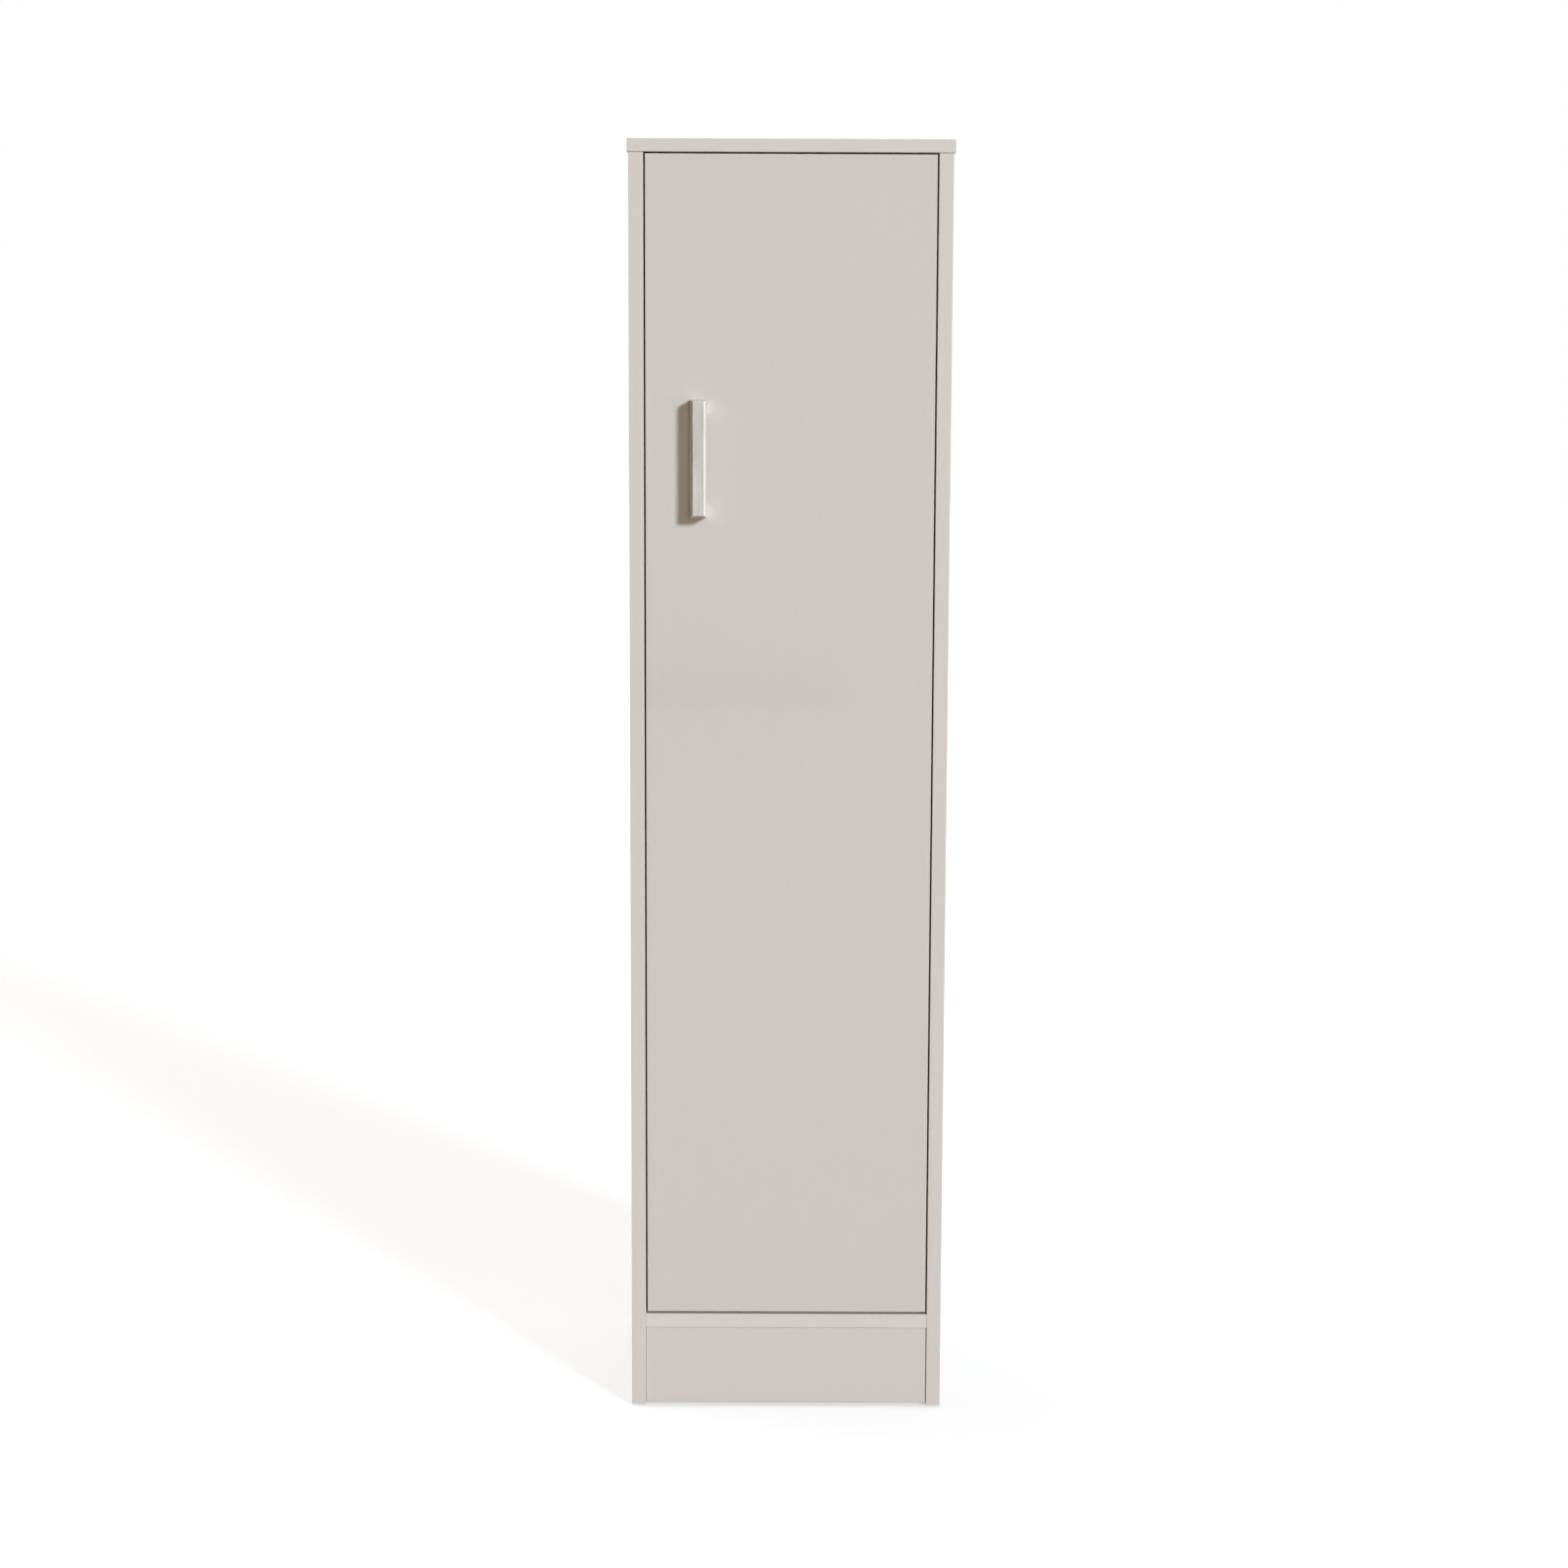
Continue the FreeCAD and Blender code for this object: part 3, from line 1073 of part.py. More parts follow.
def hinge_mounting_plate():
    """Wings screwed to the side panel, with a rib that fills the arm's channel."""
    middle = "Sizes.plate_line"
    round_end = "Sizes.plate_wing / 2"
    end = f"(Sizes.plate_half - {round_end})"
    wings = [box("-Sizes.plate_thick", f"{middle} - {round_end}", f"-{end}",
                 "0", f"{middle} + {round_end}", end)]
    wings += [cylinder(round_end, "Sizes.plate_thick", "-Sizes.plate_thick", middle,
                       f"{sign}{end}", along=TO_RIGHT) for sign in ("-", "")]
    crest = "(Sizes.arm_high - Sizes.link_thick)"
    flank = "(Places.arm_inner - Sizes.link_play)"
    rib = box(f"-{crest}", f"{middle} - Sizes.rib_length / 2", f"-{flank}",
              "0", f"{middle} + Sizes.rib_length / 2", flank)
    holes = [cylinder("Sizes.plate_screw_radius + Sizes.fit", "Sizes.plate_thick",
                      "-Sizes.plate_thick", middle, f"{sign}Sizes.plate_spread", along=TO_RIGHT)
             for sign in ("-", "")]
    holes += [cylinder("Sizes.machine_screw_radius + Sizes.fit",
                       "Sizes.arm_screw_bite + Sizes.end_play", f"-{crest}", y, along=TO_RIGHT)
              for y in ARM_SCREW_LINES.values()]
    return cut("hinge_mounting_plate", fuse("hinge_mounting_plate_blank", *wings, rib), *holes)


copies("hinge_cups", hinge_cup(), hinge_spots())
copies("hinge_cup_pins", eye(CUP_X, "Places.pivot_y", "Sizes.pin_radius",
                             f"{CUP_OUTER} - Sizes.fit"), hinge_spots())
copies("hinge_cup_links", hinge_cup_link(), hinge_spots())
copies("hinge_elbow_pins", eye("Places.elbow_x", "Places.elbow_y", "Sizes.pin_radius",
                               "Places.arm_link_outer"), hinge_spots())
copies("hinge_arm_links", hinge_arm_link(), hinge_spots())
copies("hinge_arm_pins", eye("Places.arm_x", "Places.arm_y", "Sizes.pin_radius",
                             "Places.arm_outer"), hinge_spots())
copies("hinge_arms", hinge_arm(), hinge_spots())
copies("hinge_mounting_plates", hinge_mounting_plate(), hinge_spots())
copies("hinge_cup_screws", small_screw("cup_screw", "Sizes.flange_thick"),
       [(f"Places.side_face + {CUP_X} - Sizes.cup_screw_offset",
         from_front(f"{DOOR_REAR} + Sizes.flange_thick"),
         f"{level} {sign} Sizes.cup_screw_spread", TO_FRONT)
        for level in HINGE_LEVELS for sign in "-+"])
copies("hinge_plate_screws",
       screw("plate_screw", "Sizes.plate_screw_radius - Sizes.fit",
             "(Sizes.plate_thick + Sizes.plate_screw_bite)", "Sizes.plate_screw_head",
             "Sizes.screw_head_height", pointed=False),
       [("Places.side_face - Sizes.plate_thick", from_front("Sizes.plate_line"),
         f"{level} {sign} Sizes.plate_spread", TO_RIGHT)
        for level in HINGE_LEVELS for sign in "-+"])
for label, line in ARM_SCREW_LINES.items():
    copies(label,
           screw(label + "_one", "Sizes.machine_screw_radius", ARM_SCREW_GRIP,
                 "Sizes.arm_screw_head", "Sizes.screw_head_height", pointed=False),
           [("Places.side_face - Sizes.arm_high", from_front(line), level, TO_RIGHT)
            for level in HINGE_LEVELS])


# ------------------------------------------------------------------ check and write

doc.recompute()
failed = [thing.Label for thing in doc.Objects
          if "Invalid" in thing.State or "Error" in thing.State]
if failed:
    raise ValueError("failed objects: " + ", ".join(failed))
for node in nodes:
    if node.Shape.isNull() or not node.Shape.isValid() or not node.Shape.Solids:
        raise ValueError(node.Label + " has no valid solid")

os.makedirs("parts", exist_ok=True)
for node in nodes:
    node.Shape.exportStep(os.path.join("parts", node.Label + ".step"))
    print(f"{node.Label}: {len(node.Shape.Solids)} solids, {node.Shape.Volume / 1000:.2f} cm3")
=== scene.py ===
# A tall, narrow broom cupboard of satin melamine-faced chipboard, finished piece by piece in the
# order in which it goes together.

import math

import bmesh
import bpy
from mathutils import Matrix, Vector


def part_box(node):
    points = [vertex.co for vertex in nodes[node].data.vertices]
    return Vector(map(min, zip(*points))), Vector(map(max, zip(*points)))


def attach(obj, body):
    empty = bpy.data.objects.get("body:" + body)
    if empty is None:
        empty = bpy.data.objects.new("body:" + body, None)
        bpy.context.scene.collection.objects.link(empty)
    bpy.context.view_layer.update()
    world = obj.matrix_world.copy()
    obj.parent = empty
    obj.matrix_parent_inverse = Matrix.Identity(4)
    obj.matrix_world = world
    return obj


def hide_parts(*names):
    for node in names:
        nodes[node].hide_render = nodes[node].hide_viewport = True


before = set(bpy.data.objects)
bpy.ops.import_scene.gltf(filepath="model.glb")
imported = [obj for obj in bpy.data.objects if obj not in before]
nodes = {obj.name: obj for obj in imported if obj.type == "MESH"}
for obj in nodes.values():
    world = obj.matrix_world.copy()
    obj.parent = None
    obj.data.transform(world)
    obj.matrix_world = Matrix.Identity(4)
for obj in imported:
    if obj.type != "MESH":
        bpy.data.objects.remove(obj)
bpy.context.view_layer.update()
MM = 0.001


# ------------------------------------------------------------------ side panels
# Two uprights of 18 mm chipboard, faced both sides with greige melamine paper and cut to size.
# Only their front edges are banded, with 1 mm ABS strip that is glued on and rounded over, so the
# rear and lower edges and every drilled hole show the raw chips.

MELAMINE_WARM = "CDC6C0"
MELAMINE_COOL = "CCC7C0"
BAND_COLOUR = "D2CAC4"
GLUE_LINE = "B9B2AB"
CHIP_DARK = "7A5A3C"
CHIP_MID = "B08C60"
CHIP_LIGHT = "D6BC93"
FOIL = 0.4 * MM          # the paper's edge, drawn three times its thickness so that it shows
BAND = 1.0 * MM
GLUE = 0.12 * MM         # half the glue line's width
TINT_DRIFT = 220 * MM    # slow drift of tint over a printed sheet
PEARL = 1.6 * MM         # press plate's fine pearl, drawn four times as coarse so that it shows
PEARL_HEIGHT = 0.02 * MM
CHIP_LONG = 3.2 * MM
CHIP_THIN = 0.8 * MM
CHIP_HEIGHT = 0.12 * MM


def linear(code):
    """A colour written as sRGB hex, turned into the linear values that a shader takes."""
    parts = [int(code[i:i + 2], 16) / 255 for i in (0, 2, 4)]
    return [p / 12.92 if p <= 0.04045 else ((p + 0.055) / 1.055) ** 2.4 for p in parts] + [1]


def new_material(name):
    material = bpy.data.materials.new(name)
    material.use_nodes = True
    return material, material.node_tree, material.node_tree.nodes["Principled BSDF"]


def add(tree, kind, inputs=None, **settings):
    """Adds a node: settings are its properties, and inputs are its values or its links."""
    made = tree.nodes.new("ShaderNode" + kind)
    for name, value in settings.items():
        setattr(made, name, value)
    for socket, value in (inputs or {}).items():
        if isinstance(value, bpy.types.NodeSocket):
            tree.links.new(value, made.inputs[socket])
        else:
            made.inputs[socket].default_value = value
    return made


def blend_colours(tree, share, first, second):
    """The first colour where the share is 0 and the second where it is 1."""
    mix = add(tree, "Mix", {0: share, 6: first, 7: second}, data_type="RGBA")
    return mix.outputs[2]


def melamine_board(name, thick, banded, strip=BAND_COLOUR, tints=(MELAMINE_WARM, MELAMINE_COOL)):
    """Melamine on the faces, ABS strip on the banded edges, raw chips everywhere else."""
    material, tree, shader = new_material("melamine_on_" + name)
    low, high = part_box(name)
    place = add(tree, "TexCoord").outputs["Object"]
    spot = add(tree, "SeparateXYZ", {0: place})

    def inside(axis, side, depth):
        """1 where the surface lies deeper than depth under one side of the board."""
        index = "XYZ".index(axis)
        if side == "low":
            test, limit = "GREATER_THAN", low[index] + depth
        else:
            test, limit = "LESS_THAN", high[index] - depth
        return add(tree, "Math", {0: spot.outputs[axis], 1: limit}, operation=test).outputs[0]

    def both(tests):
        result = tests[0]
        for test in tests[1:]:
            result = add(tree, "Math", {0: result, 1: test}, operation="MULTIPLY").outputs[0]
        return result

    under_band = both([inside(axis, side, BAND) for axis, side in banded])
    past_glue = both([inside(axis, side, BAND + 2 * GLUE) for axis, side in banded])
    under_foil = both([inside(thick, side, FOIL) for side in ("low", "high")])
    raw = both([under_band, under_foil])

    # the printed paper: a slow drift of tint, and the strip, a shade lighter, beyond its glue line
    drift = add(tree, "TexNoise", {"Vector": place, "Scale": 1 / TINT_DRIFT, "Detail": 2.0})
    paper = blend_colours(tree, drift.outputs["Fac"], linear(tints[0]), linear(tints[1]))
    glued = blend_colours(tree, past_glue, linear(GLUE_LINE), paper)
    skin = blend_colours(tree, under_band, linear(strip), glued)

    # the core: flat chips that lie in the plane of the board, each with a tone of its own
    stretch = [1 / CHIP_LONG] * 3
    stretch["XYZ".index(thick)] = 1 / CHIP_THIN
    laid = add(tree, "VectorMath", {0: place, 1: stretch}, operation="MULTIPLY").outputs[0]
    chips = add(tree, "TexVoronoi", {"Vector": laid, "Scale": 1.0, "Randomness": 1.0})
    tone = add(tree, "SeparateColor", {0: chips.outputs["Color"]})
    ramp = add(tree, "ValToRGB", {0: tone.outputs[0]})
    ramp.color_ramp.elements[0].color = linear(CHIP_DARK)
    ramp.color_ramp.elements[1].color = linear(CHIP_LIGHT)
    ramp.color_ramp.elements.new(0.35).color = linear(CHIP_MID)
    surface = blend_colours(tree, raw, skin, ramp.outputs[0])
    tree.links.new(surface, shader.inputs["Base Color"])

    # satin from the pressed pearl; the raw core is dull
    pearl = add(tree, "TexNoise", {"Vector": place, "Scale": 1 / PEARL, "Detail": 3.0})
    satin = add(tree, "MapRange", {0: pearl.outputs["Fac"], 3: 0.40, 4: 0.50})
    rough = add(tree, "Mix", {0: raw, 2: satin.outputs[0], 3: 0.9}, data_type="FLOAT")
    tree.links.new(rough.outputs[0], shader.inputs["Roughness"])
    pressed = add(tree, "Bump", {"Height": pearl.outputs["Fac"], "Distance": PEARL_HEIGHT})
    depth = add(tree, "Math", {0: chips.outputs["Distance"], 1: raw}, operation="MULTIPLY")
    chipped = add(tree, "Bump", {"Height": depth.outputs[0], "Distance": CHIP_HEIGHT,
                                 "Normal": pressed.outputs[0]})
    tree.links.new(chipped.outputs[0], shader.inputs["Normal"])
    shader.inputs["IOR"].default_value = 1.55
    nodes[name].data.materials.clear()
    nodes[name].data.materials.append(material)


melamine_board("left_side_panel", "X", [("Y", "low")])
melamine_board("right_side_panel", "X", [("Y", "low")])


# ------------------------------------------------------------------ top, bottom, shelf and plinth
# The same board. The top is banded on the three edges that show, the bottom board and the shelf
# only at the front, and the plinth along both long edges. Their other edges butt against a side
# panel or the back, so they stay raw. The bottom board's strip is painted paler, and the plinth
# lighter and warmer: painted light, for the brighter light low down near the floor.

# painted light: the bottom board's strip and the plinth are made lighter for the brighter light near
# the floor
LOW_BAND_PAINTED_LIGHT = "D7CFC8"
PLINTH_TINTS_PAINTED_LIGHT = ("D2C9C2", "D0C9C2")

melamine_board("top_board", "Z", [("Y", "low"), ("X", "low"), ("X", "high")])
melamine_board("bottom_board", "Z", [("Y", "low")], LOW_BAND_PAINTED_LIGHT)
melamine_board("upper_shelf", "Z", [("Y", "low")])
melamine_board("plinth_board", "Y", [("Z", "low"), ("Z", "high")], tints=PLINTH_TINTS_PAINTED_LIGHT)


# ------------------------------------------------------------------ cam bolts
# Twelve turned steel bolts, screwed into the faces of the boards. Each has a rolled thread, a
# collar that stops on the face, a shank, and a waisted head that a cam lock draws in. Plated in a
# tumbling barrel, they are bright zinc with a faint cloudiness.

ZINC_PALE = "C6CACE"
ZINC_DEEP = "A2A8AE"
CLOUD = 1.4 * MM
BOLT_RADIUS = 2.45 * MM
BOLT_ROOT = 1.9 * MM
BOLT_PITCH = 1.6 * MM
BOLT_BITE = 11 * MM
COLLAR_RADIUS = 3.7 * MM
COLLAR_END = 12.5 * MM
SHANK_RADIUS = 3 * MM
SHANK_END = 27.5 * MM
NECK_RADIUS = 2 * MM
HEAD_START = 33.35 * MM
HEAD_RADIUS = 3.3 * MM
HEAD_MIDDLE = 35 * MM
HEAD_END = 36.65 * MM
BROKEN_EDGE = 0.3 * MM


def solids(node):
    """The separate solids of a CAD node, each as a list of its corners."""
    mesh = bmesh.new()
    mesh.from_mesh(nodes[node].data)
    bmesh.ops.remove_doubles(mesh, verts=mesh.verts, dist=MM / 1000)
    seen, found = set(), []
    for start in mesh.verts:
        if start in seen:
            continue
        seen.add(start)
        reached = [start]
        for vert in reached:
            for edge in vert.link_edges:
                other = edge.other_vert(vert)
                if other not in seen:
                    seen.add(other)
                    reached.append(other)
        found.append([vert.co.copy() for vert in reached])
    mesh.free()
    return found


def corner_box(corners):
    low = Vector([min(corner[i] for corner in corners) for i in range(3)])
    high = Vector([max(corner[i] for corner in corners) for i in range(3)])
    return low, high


def solid_boxes(node):
    """The lowest and highest corner of each separate solid of a CAD node."""
    return [corner_box(corners) for corners in solids(node)]


def spot_at(foot, way, across=None):
    """A form's own frame: its foot, the way its +Z points and, where it matters, its +X."""
    way = Vector(way)
    across = Vector(across) if across else way.orthogonal().normalized()
    turn = Matrix((across, way.cross(across), way)).transposed()
    return Matrix.Translation(foot) @ turn.to_4x4()


def turned_spots(node):
    """For each turned solid of a node, a frame at the end nearer its widest ring, +Z along it."""
    spots = []
    for corners in solids(node):
        low, high = corner_box(corners)
        axis = max(range(3), key=lambda i: high[i] - low[i])
        middle = (low + high) / 2

        def spread(corner):
            away = corner - middle
            away[axis] = 0
            return away.length

        widest = max(spread(corner) for corner in corners)
        ring = [corner[axis] for corner in corners if spread(corner) > widest - MM / 50]
        along = 1 if sum(ring) / len(ring) < middle[axis] else -1
        foot = middle.copy()
        foot[axis] = low[axis] if along > 0 else high[axis]
        way = Vector((0, 0, 0))
        way[axis] = along
        spots.append(spot_at(foot, way))
    return spots


def turned(profile, segments=32, open_middle=False):
    """A side view, given as pairs of radius and height, spun about +Z."""
    mesh = bmesh.new()
    rows = []
    for radius, height in profile:
        steps = segments if radius > 0 else 1
        turns = [2 * math.pi * step / steps for step in range(steps)]
        rows.append([mesh.verts.new((radius * math.cos(turn), radius * math.sin(turn), height))
                     for turn in turns])
    following = rows[1:] + rows[:1] if open_middle else rows[1:]
    for near, far in zip(rows, following):
        for step in range(segments):
            here, there = step, (step + 1) % segments
            corners = [near[here % len(near)], near[there % len(near)],
                       far[there % len(far)], far[here % len(far)]]
            corners = list(dict.fromkeys(corners))
            if len(corners) > 2:
                mesh.faces.new(corners)
    bmesh.ops.recalc_face_normals(mesh, faces=mesh.faces)
    return mesh


def add_thread(mesh, crest, root, start, end, pitch, taper):
    """Winds a ridge round +Z from start to end; it runs to a tip over the last taper."""
    ridge = ((root, 0.0), (root, 0.3), (crest, 0.58), (crest, 0.72))
    around = 20
    count = int((end - start) / pitch + 2) * around
    columns = []
    for step in range(count + around + 1):
        turn = 2 * math.pi * step / around
        column = []
        for radius, share in ridge:
            height = min(max(start + pitch * (step / around + share - 1), start), end)
            reach = radius * min(1, (end - height) / taper)
            column.append(mesh.verts.new((reach * math.cos(turn), reach * math.sin(turn), height)))
        columns.append(column)
    for step in range(count):
        near = columns[step] + columns[step + around][:1]
        far = columns[step + 1] + columns[step + 1 + around][:1]
        for index in range(len(ridge)):
            mesh.faces.new([near[index], far[index], far[index + 1], near[index + 1]])
    loose = [vert for vert in mesh.verts if not vert.link_faces]
    bmesh.ops.delete(mesh, geom=loose, context="VERTS")
    bmesh.ops.remove_doubles(mesh, verts=mesh.verts, dist=MM / 1000)


def dress(tree, shader, colour, sheen, pattern, relief):
    """Gives a finish its colour and its sheen, and raises its pattern by a small relief."""
    tree.links.new(colour, shader.inputs["Base Color"])
    tree.links.new(sheen, shader.inputs["Roughness"])
    bump = add(tree, "Bump", {"Height": pattern, "Distance": relief})
    tree.links.new(bump.outputs[0], shader.inputs["Normal"])


def plated_metal(name, pale, deep, bright, dull, cloud, relief, stretch=(1, 1, 1)):
    """Plated metal: a faint cloudiness in its tone, its sheen and its surface."""
    material, tree, shader = new_material(name)
    place = add(tree, "TexCoord").outputs["Object"]
    laid = add(tree, "VectorMath", {0: place, 1: stretch}, operation="MULTIPLY").outputs[0]
    bath = add(tree, "TexNoise", {"Vector": laid, "Scale": 1 / cloud, "Detail": 5.0})
    tone = add(tree, "MapRange", {0: bath.outputs["Fac"], 1: 0.3, 2: 0.7})
    colour = blend_colours(tree, tone.outputs[0], linear(deep), linear(pale))
    sheen = add(tree, "MapRange", {0: bath.outputs["Fac"], 1: 0.3, 2: 0.7, 3: dull, 4: bright})
    dress(tree, shader, colour, sheen.outputs[0], bath.outputs["Fac"], relief)
    shader.inputs["Metallic"].default_value = 1.0
    return material


zinc_plate = plated_metal("barrel_plated_zinc", ZINC_PALE, ZINC_DEEP, 0.24, 0.42, CLOUD, 0.01 * MM)


def as_mesh(form, name="form"):
    """Turns a form into mesh data, and uses the form up."""
    data = bpy.data.meshes.new(name)
    form.to_mesh(data)
    form.free()
    return data


def put_in(mesh, form):
    """Puts a form in with another one, its surface as it is, and uses it up."""
    data = as_mesh(form)
    mesh.from_mesh(data)
    bpy.data.meshes.remove(data)


def set_out(name, form, spots, material, body, node, crease=35):
    """Makes one piece from a copy of a form at each spot; it stands for a CAD node."""
    mesh = bmesh.new()
    for spot in spots:
        copy = form.copy()
        bmesh.ops.transform(copy, matrix=spot, verts=copy.verts)
        put_in(mesh, copy)
    form.free()
    data = as_mesh(mesh, name)
    data.shade_smooth()
    data.set_sharp_from_angle(angle=math.radians(crease))
    data.materials.append(material)
    piece = bpy.data.objects.new(name, data)
    bpy.context.scene.collection.objects.link(piece)
    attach(piece, body)
    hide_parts(node)
    return piece


def zinc_fixings(name, form, node, body="carcass"):
    """Bolts, screws or nails of zinc-plated steel, one for each turned solid of a node."""
    set_out(name, form, turned_spots(node), zinc_plate, body, node)


def cam_bolt():
    """From its threaded tip, at z = 0, to the end of its head."""
    edge = BROKEN_EDGE
    shaft = turned([
        (0, BOLT_BITE - edge), (BOLT_ROOT, BOLT_BITE - edge), (BOLT_ROOT, BOLT_BITE),
        (COLLAR_RADIUS - edge, BOLT_BITE), (COLLAR_RADIUS, BOLT_BITE + edge),
        (COLLAR_RADIUS, COLLAR_END - edge), (COLLAR_RADIUS - edge, COLLAR_END),
        (SHANK_RADIUS, COLLAR_END), (SHANK_RADIUS, SHANK_END - edge),
        (NECK_RADIUS + edge, SHANK_END), (NECK_RADIUS, SHANK_END + edge),
        (NECK_RADIUS, HEAD_START), (HEAD_RADIUS - edge, HEAD_MIDDLE - edge),
        (HEAD_RADIUS, HEAD_MIDDLE), (HEAD_RADIUS - edge, HEAD_MIDDLE + edge),
        (NECK_RADIUS, HEAD_END), (0, HEAD_END),
    ])
    screw_end = bmesh.new()
    add_thread(screw_end, BOLT_RADIUS, BOLT_ROOT, 0, BOLT_BITE, BOLT_PITCH, BROKEN_EDGE)
    bmesh.ops.transform(screw_end, matrix=spot_at((0, 0, BOLT_BITE), (0, 0, -1)),
                        verts=screw_end.verts)
    return together(shaft, screw_end)


def together(*forms):
    """Puts forms in one mesh and leaves their surfaces as they are."""
    whole = forms[0]
    for form in forms[1:]:
        put_in(whole, form)
    return whole


zinc_fixings("zinc_cam_bolts", cam_bolt(), "cam_bolts")


# ------------------------------------------------------------------ dowels
# Twelve beech dowels, 8 mm by 30 mm, glued beside the bolts. They are fluted so that air and glue
# can escape, and their ends are chamfered. Four of them stand upright, under the top board.

BEECH_PALE = "D9B98C"
BEECH_DEEP = "B98F60"
BEECH_GRAIN = 0.7 * MM
BEECH_LENGTH = 14 * MM
BEECH_RELIEF = 0.05 * MM
DOWEL_RADIUS = 3.95 * MM
DOWEL_LENGTH = 30 * MM
DOWEL_CHAMFER = 1 * MM
FLUTES = 24
FLUTE_DEPTH = 0.25 * MM


def beech():
    """Beech with its grain along each dowel, and the short dark flecks of its rays."""
    material, tree, shader = new_material("steamed_beech")
    place = add(tree, "TexCoord").outputs["Object"]
    spot = add(tree, "SeparateXYZ", {0: place})
    under_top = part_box("top_board")[0].z - DOWEL_LENGTH
    upright = add(tree, "Math", {0: spot.outputs["Z"], 1: under_top}, operation="GREATER_THAN")
    thin, long = 1 / BEECH_GRAIN, 1 / BEECH_LENGTH
    lying = add(tree, "VectorMath", {0: place, 1: (long, thin, thin)}, operation="MULTIPLY")
    standing = add(tree, "VectorMath", {0: place, 1: (thin, thin, long)}, operation="MULTIPLY")
    laid = add(tree, "Mix", {0: upright.outputs[0], 4: lying.outputs[0], 5: standing.outputs[0]},
               data_type="VECTOR").outputs[1]
    grain = add(tree, "TexNoise", {"Vector": laid, "Scale": 1.0, "Detail": 5.0, "Roughness": 0.65})
    tone = add(tree, "MapRange", {0: grain.outputs["Fac"], 1: 0.35, 2: 0.65})
    colour = blend_colours(tree, tone.outputs[0], linear(BEECH_DEEP), linear(BEECH_PALE))
    tree.links.new(colour, shader.inputs["Base Color"])
    bump = add(tree, "Bump", {"Height": grain.outputs["Fac"], "Distance": BEECH_RELIEF})
    tree.links.new(bump.outputs[0], shader.inputs["Normal"])
    shader.inputs["Roughness"].default_value = 0.62
    return material


def wood_dowel():
    tip = DOWEL_RADIUS - DOWEL_CHAMFER
    form = turned([(0, 0), (tip, 0), (DOWEL_RADIUS, DOWEL_CHAMFER),
                   (DOWEL_RADIUS, DOWEL_LENGTH - DOWEL_CHAMFER), (tip, DOWEL_LENGTH),
                   (0, DOWEL_LENGTH)], 4 * FLUTES)
    for vert in form.verts:
        reach = math.hypot(vert.co.x, vert.co.y)
        if reach > tip + FLUTE_DEPTH:
            turn = math.atan2(vert.co.y, vert.co.x)
            groove = FLUTE_DEPTH * max(0, math.cos(FLUTES * turn))
            vert.co.xy *= (reach - groove) / reach
    return form


set_out("fluted_dowels", wood_dowel(), turned_spots("wood_dowels"), beech(), "carcass",
        "wood_dowels", 20)


# ------------------------------------------------------------------ cam locks
# Twelve drums of die-cast zinc, dropped into bores from below or from the side, each with a cross
# slot for the driver and a window that takes a bolt's head. As cast they are grey and grainy.

CAST_PALE = "A9ADB1"
CAST_DEEP = "8A8F94"
CAST_GRAIN = 0.5 * MM
CAM_RADIUS = 7.45 * MM
CAM_HEIGHT = 13 * MM
CAM_RING = 5.8 * MM
CAM_RING_WIDTH = 0.35 * MM
CAM_SLOT = 1.6 * MM
CAM_SLOT_REACH = 4.6 * MM
CAM_SLOT_DEPTH = 2.5 * MM
CAM_WINDOW = 3.6 * MM
CAM_BOLT_LEVEL = 9 * MM


def arc(x, y, radius, start, end, steps=8):
    """Points on an arc, with its two ends in degrees."""
    turns = [math.radians(start + (end - start) * step / steps) for step in range(steps + 1)]
    return [(x + radius * math.cos(turn), y + radius * math.sin(turn)) for turn in turns]


def drawn(view, low, high, axis="Z"):
    """An outline, seen along an axis, stretched along it from low to high."""
    mesh = bmesh.new()
    index = "XYZ".index(axis)
    corners = []
    for pair in view:
        place = list(pair)
        place.insert(index, low)
        corners.append(mesh.verts.new(place))
    moved = bmesh.ops.extrude_face_region(mesh, geom=[mesh.faces.new(corners)])["geom"]
    step = Vector((0, 0, 0))
    step[index] = high - low
    far = [part for part in moved if isinstance(part, bmesh.types.BMVert)]
    bmesh.ops.translate(mesh, verts=far, vec=step)
    bmesh.ops.recalc_face_normals(mesh, faces=mesh.faces)
    return mesh


def block(x0, y0, z0, x1, y1, z1):
    return drawn([(x0, y0), (x1, y0), (x1, y1), (x0, y1)], z0, z1)


def rod(axis, first, second, radius, low, high, steps=48):
    """A round bar along an axis, through a point given by its other two coordinates."""
    return drawn(arc(first, second, radius, 0, 360 - 360 / steps, steps - 1), low, high, axis)


def shaped(base, added=(), taken=()):
    """One closed form: the base with some forms joined to it and others cut out of it."""
    blanks = []
    for form in (base, *added, *taken):
        blanks.append(bpy.data.objects.new("blank", as_mesh(form, "blank")))
        bpy.context.scene.collection.objects.link(blanks[-1])
    for index, tool in enumerate(blanks[1:]):
        step = blanks[0].modifiers.new("step", "BOOLEAN")
        step.operation = "UNION" if index < len(added) else "DIFFERENCE"
        step.solver = "EXACT"
        step.object = tool
    whole = bpy.context.evaluated_depsgraph_get()
    data = bpy.data.meshes.new_from_object(blanks[0].evaluated_get(whole))
    result = bmesh.new()
    result.from_mesh(data)
    bpy.data.meshes.remove(data)
    for thing in blanks:
        bpy.data.objects.remove(thing)
    bmesh.ops.dissolve_limit(result, angle_limit=math.radians(0.5), verts=result.verts,
                             edges=result.edges)
    return result


def cross(reach, width, foot, top):
    """A cross-shaped bar along Z, narrower at its top than at its foot."""
    half = width / 2
    view = [(half, half), (reach, half), (reach, -half)]
    for _ in range(3):
        view += [(y, -x) for x, y in view[-3:]]
    return drawn(view, foot, top)


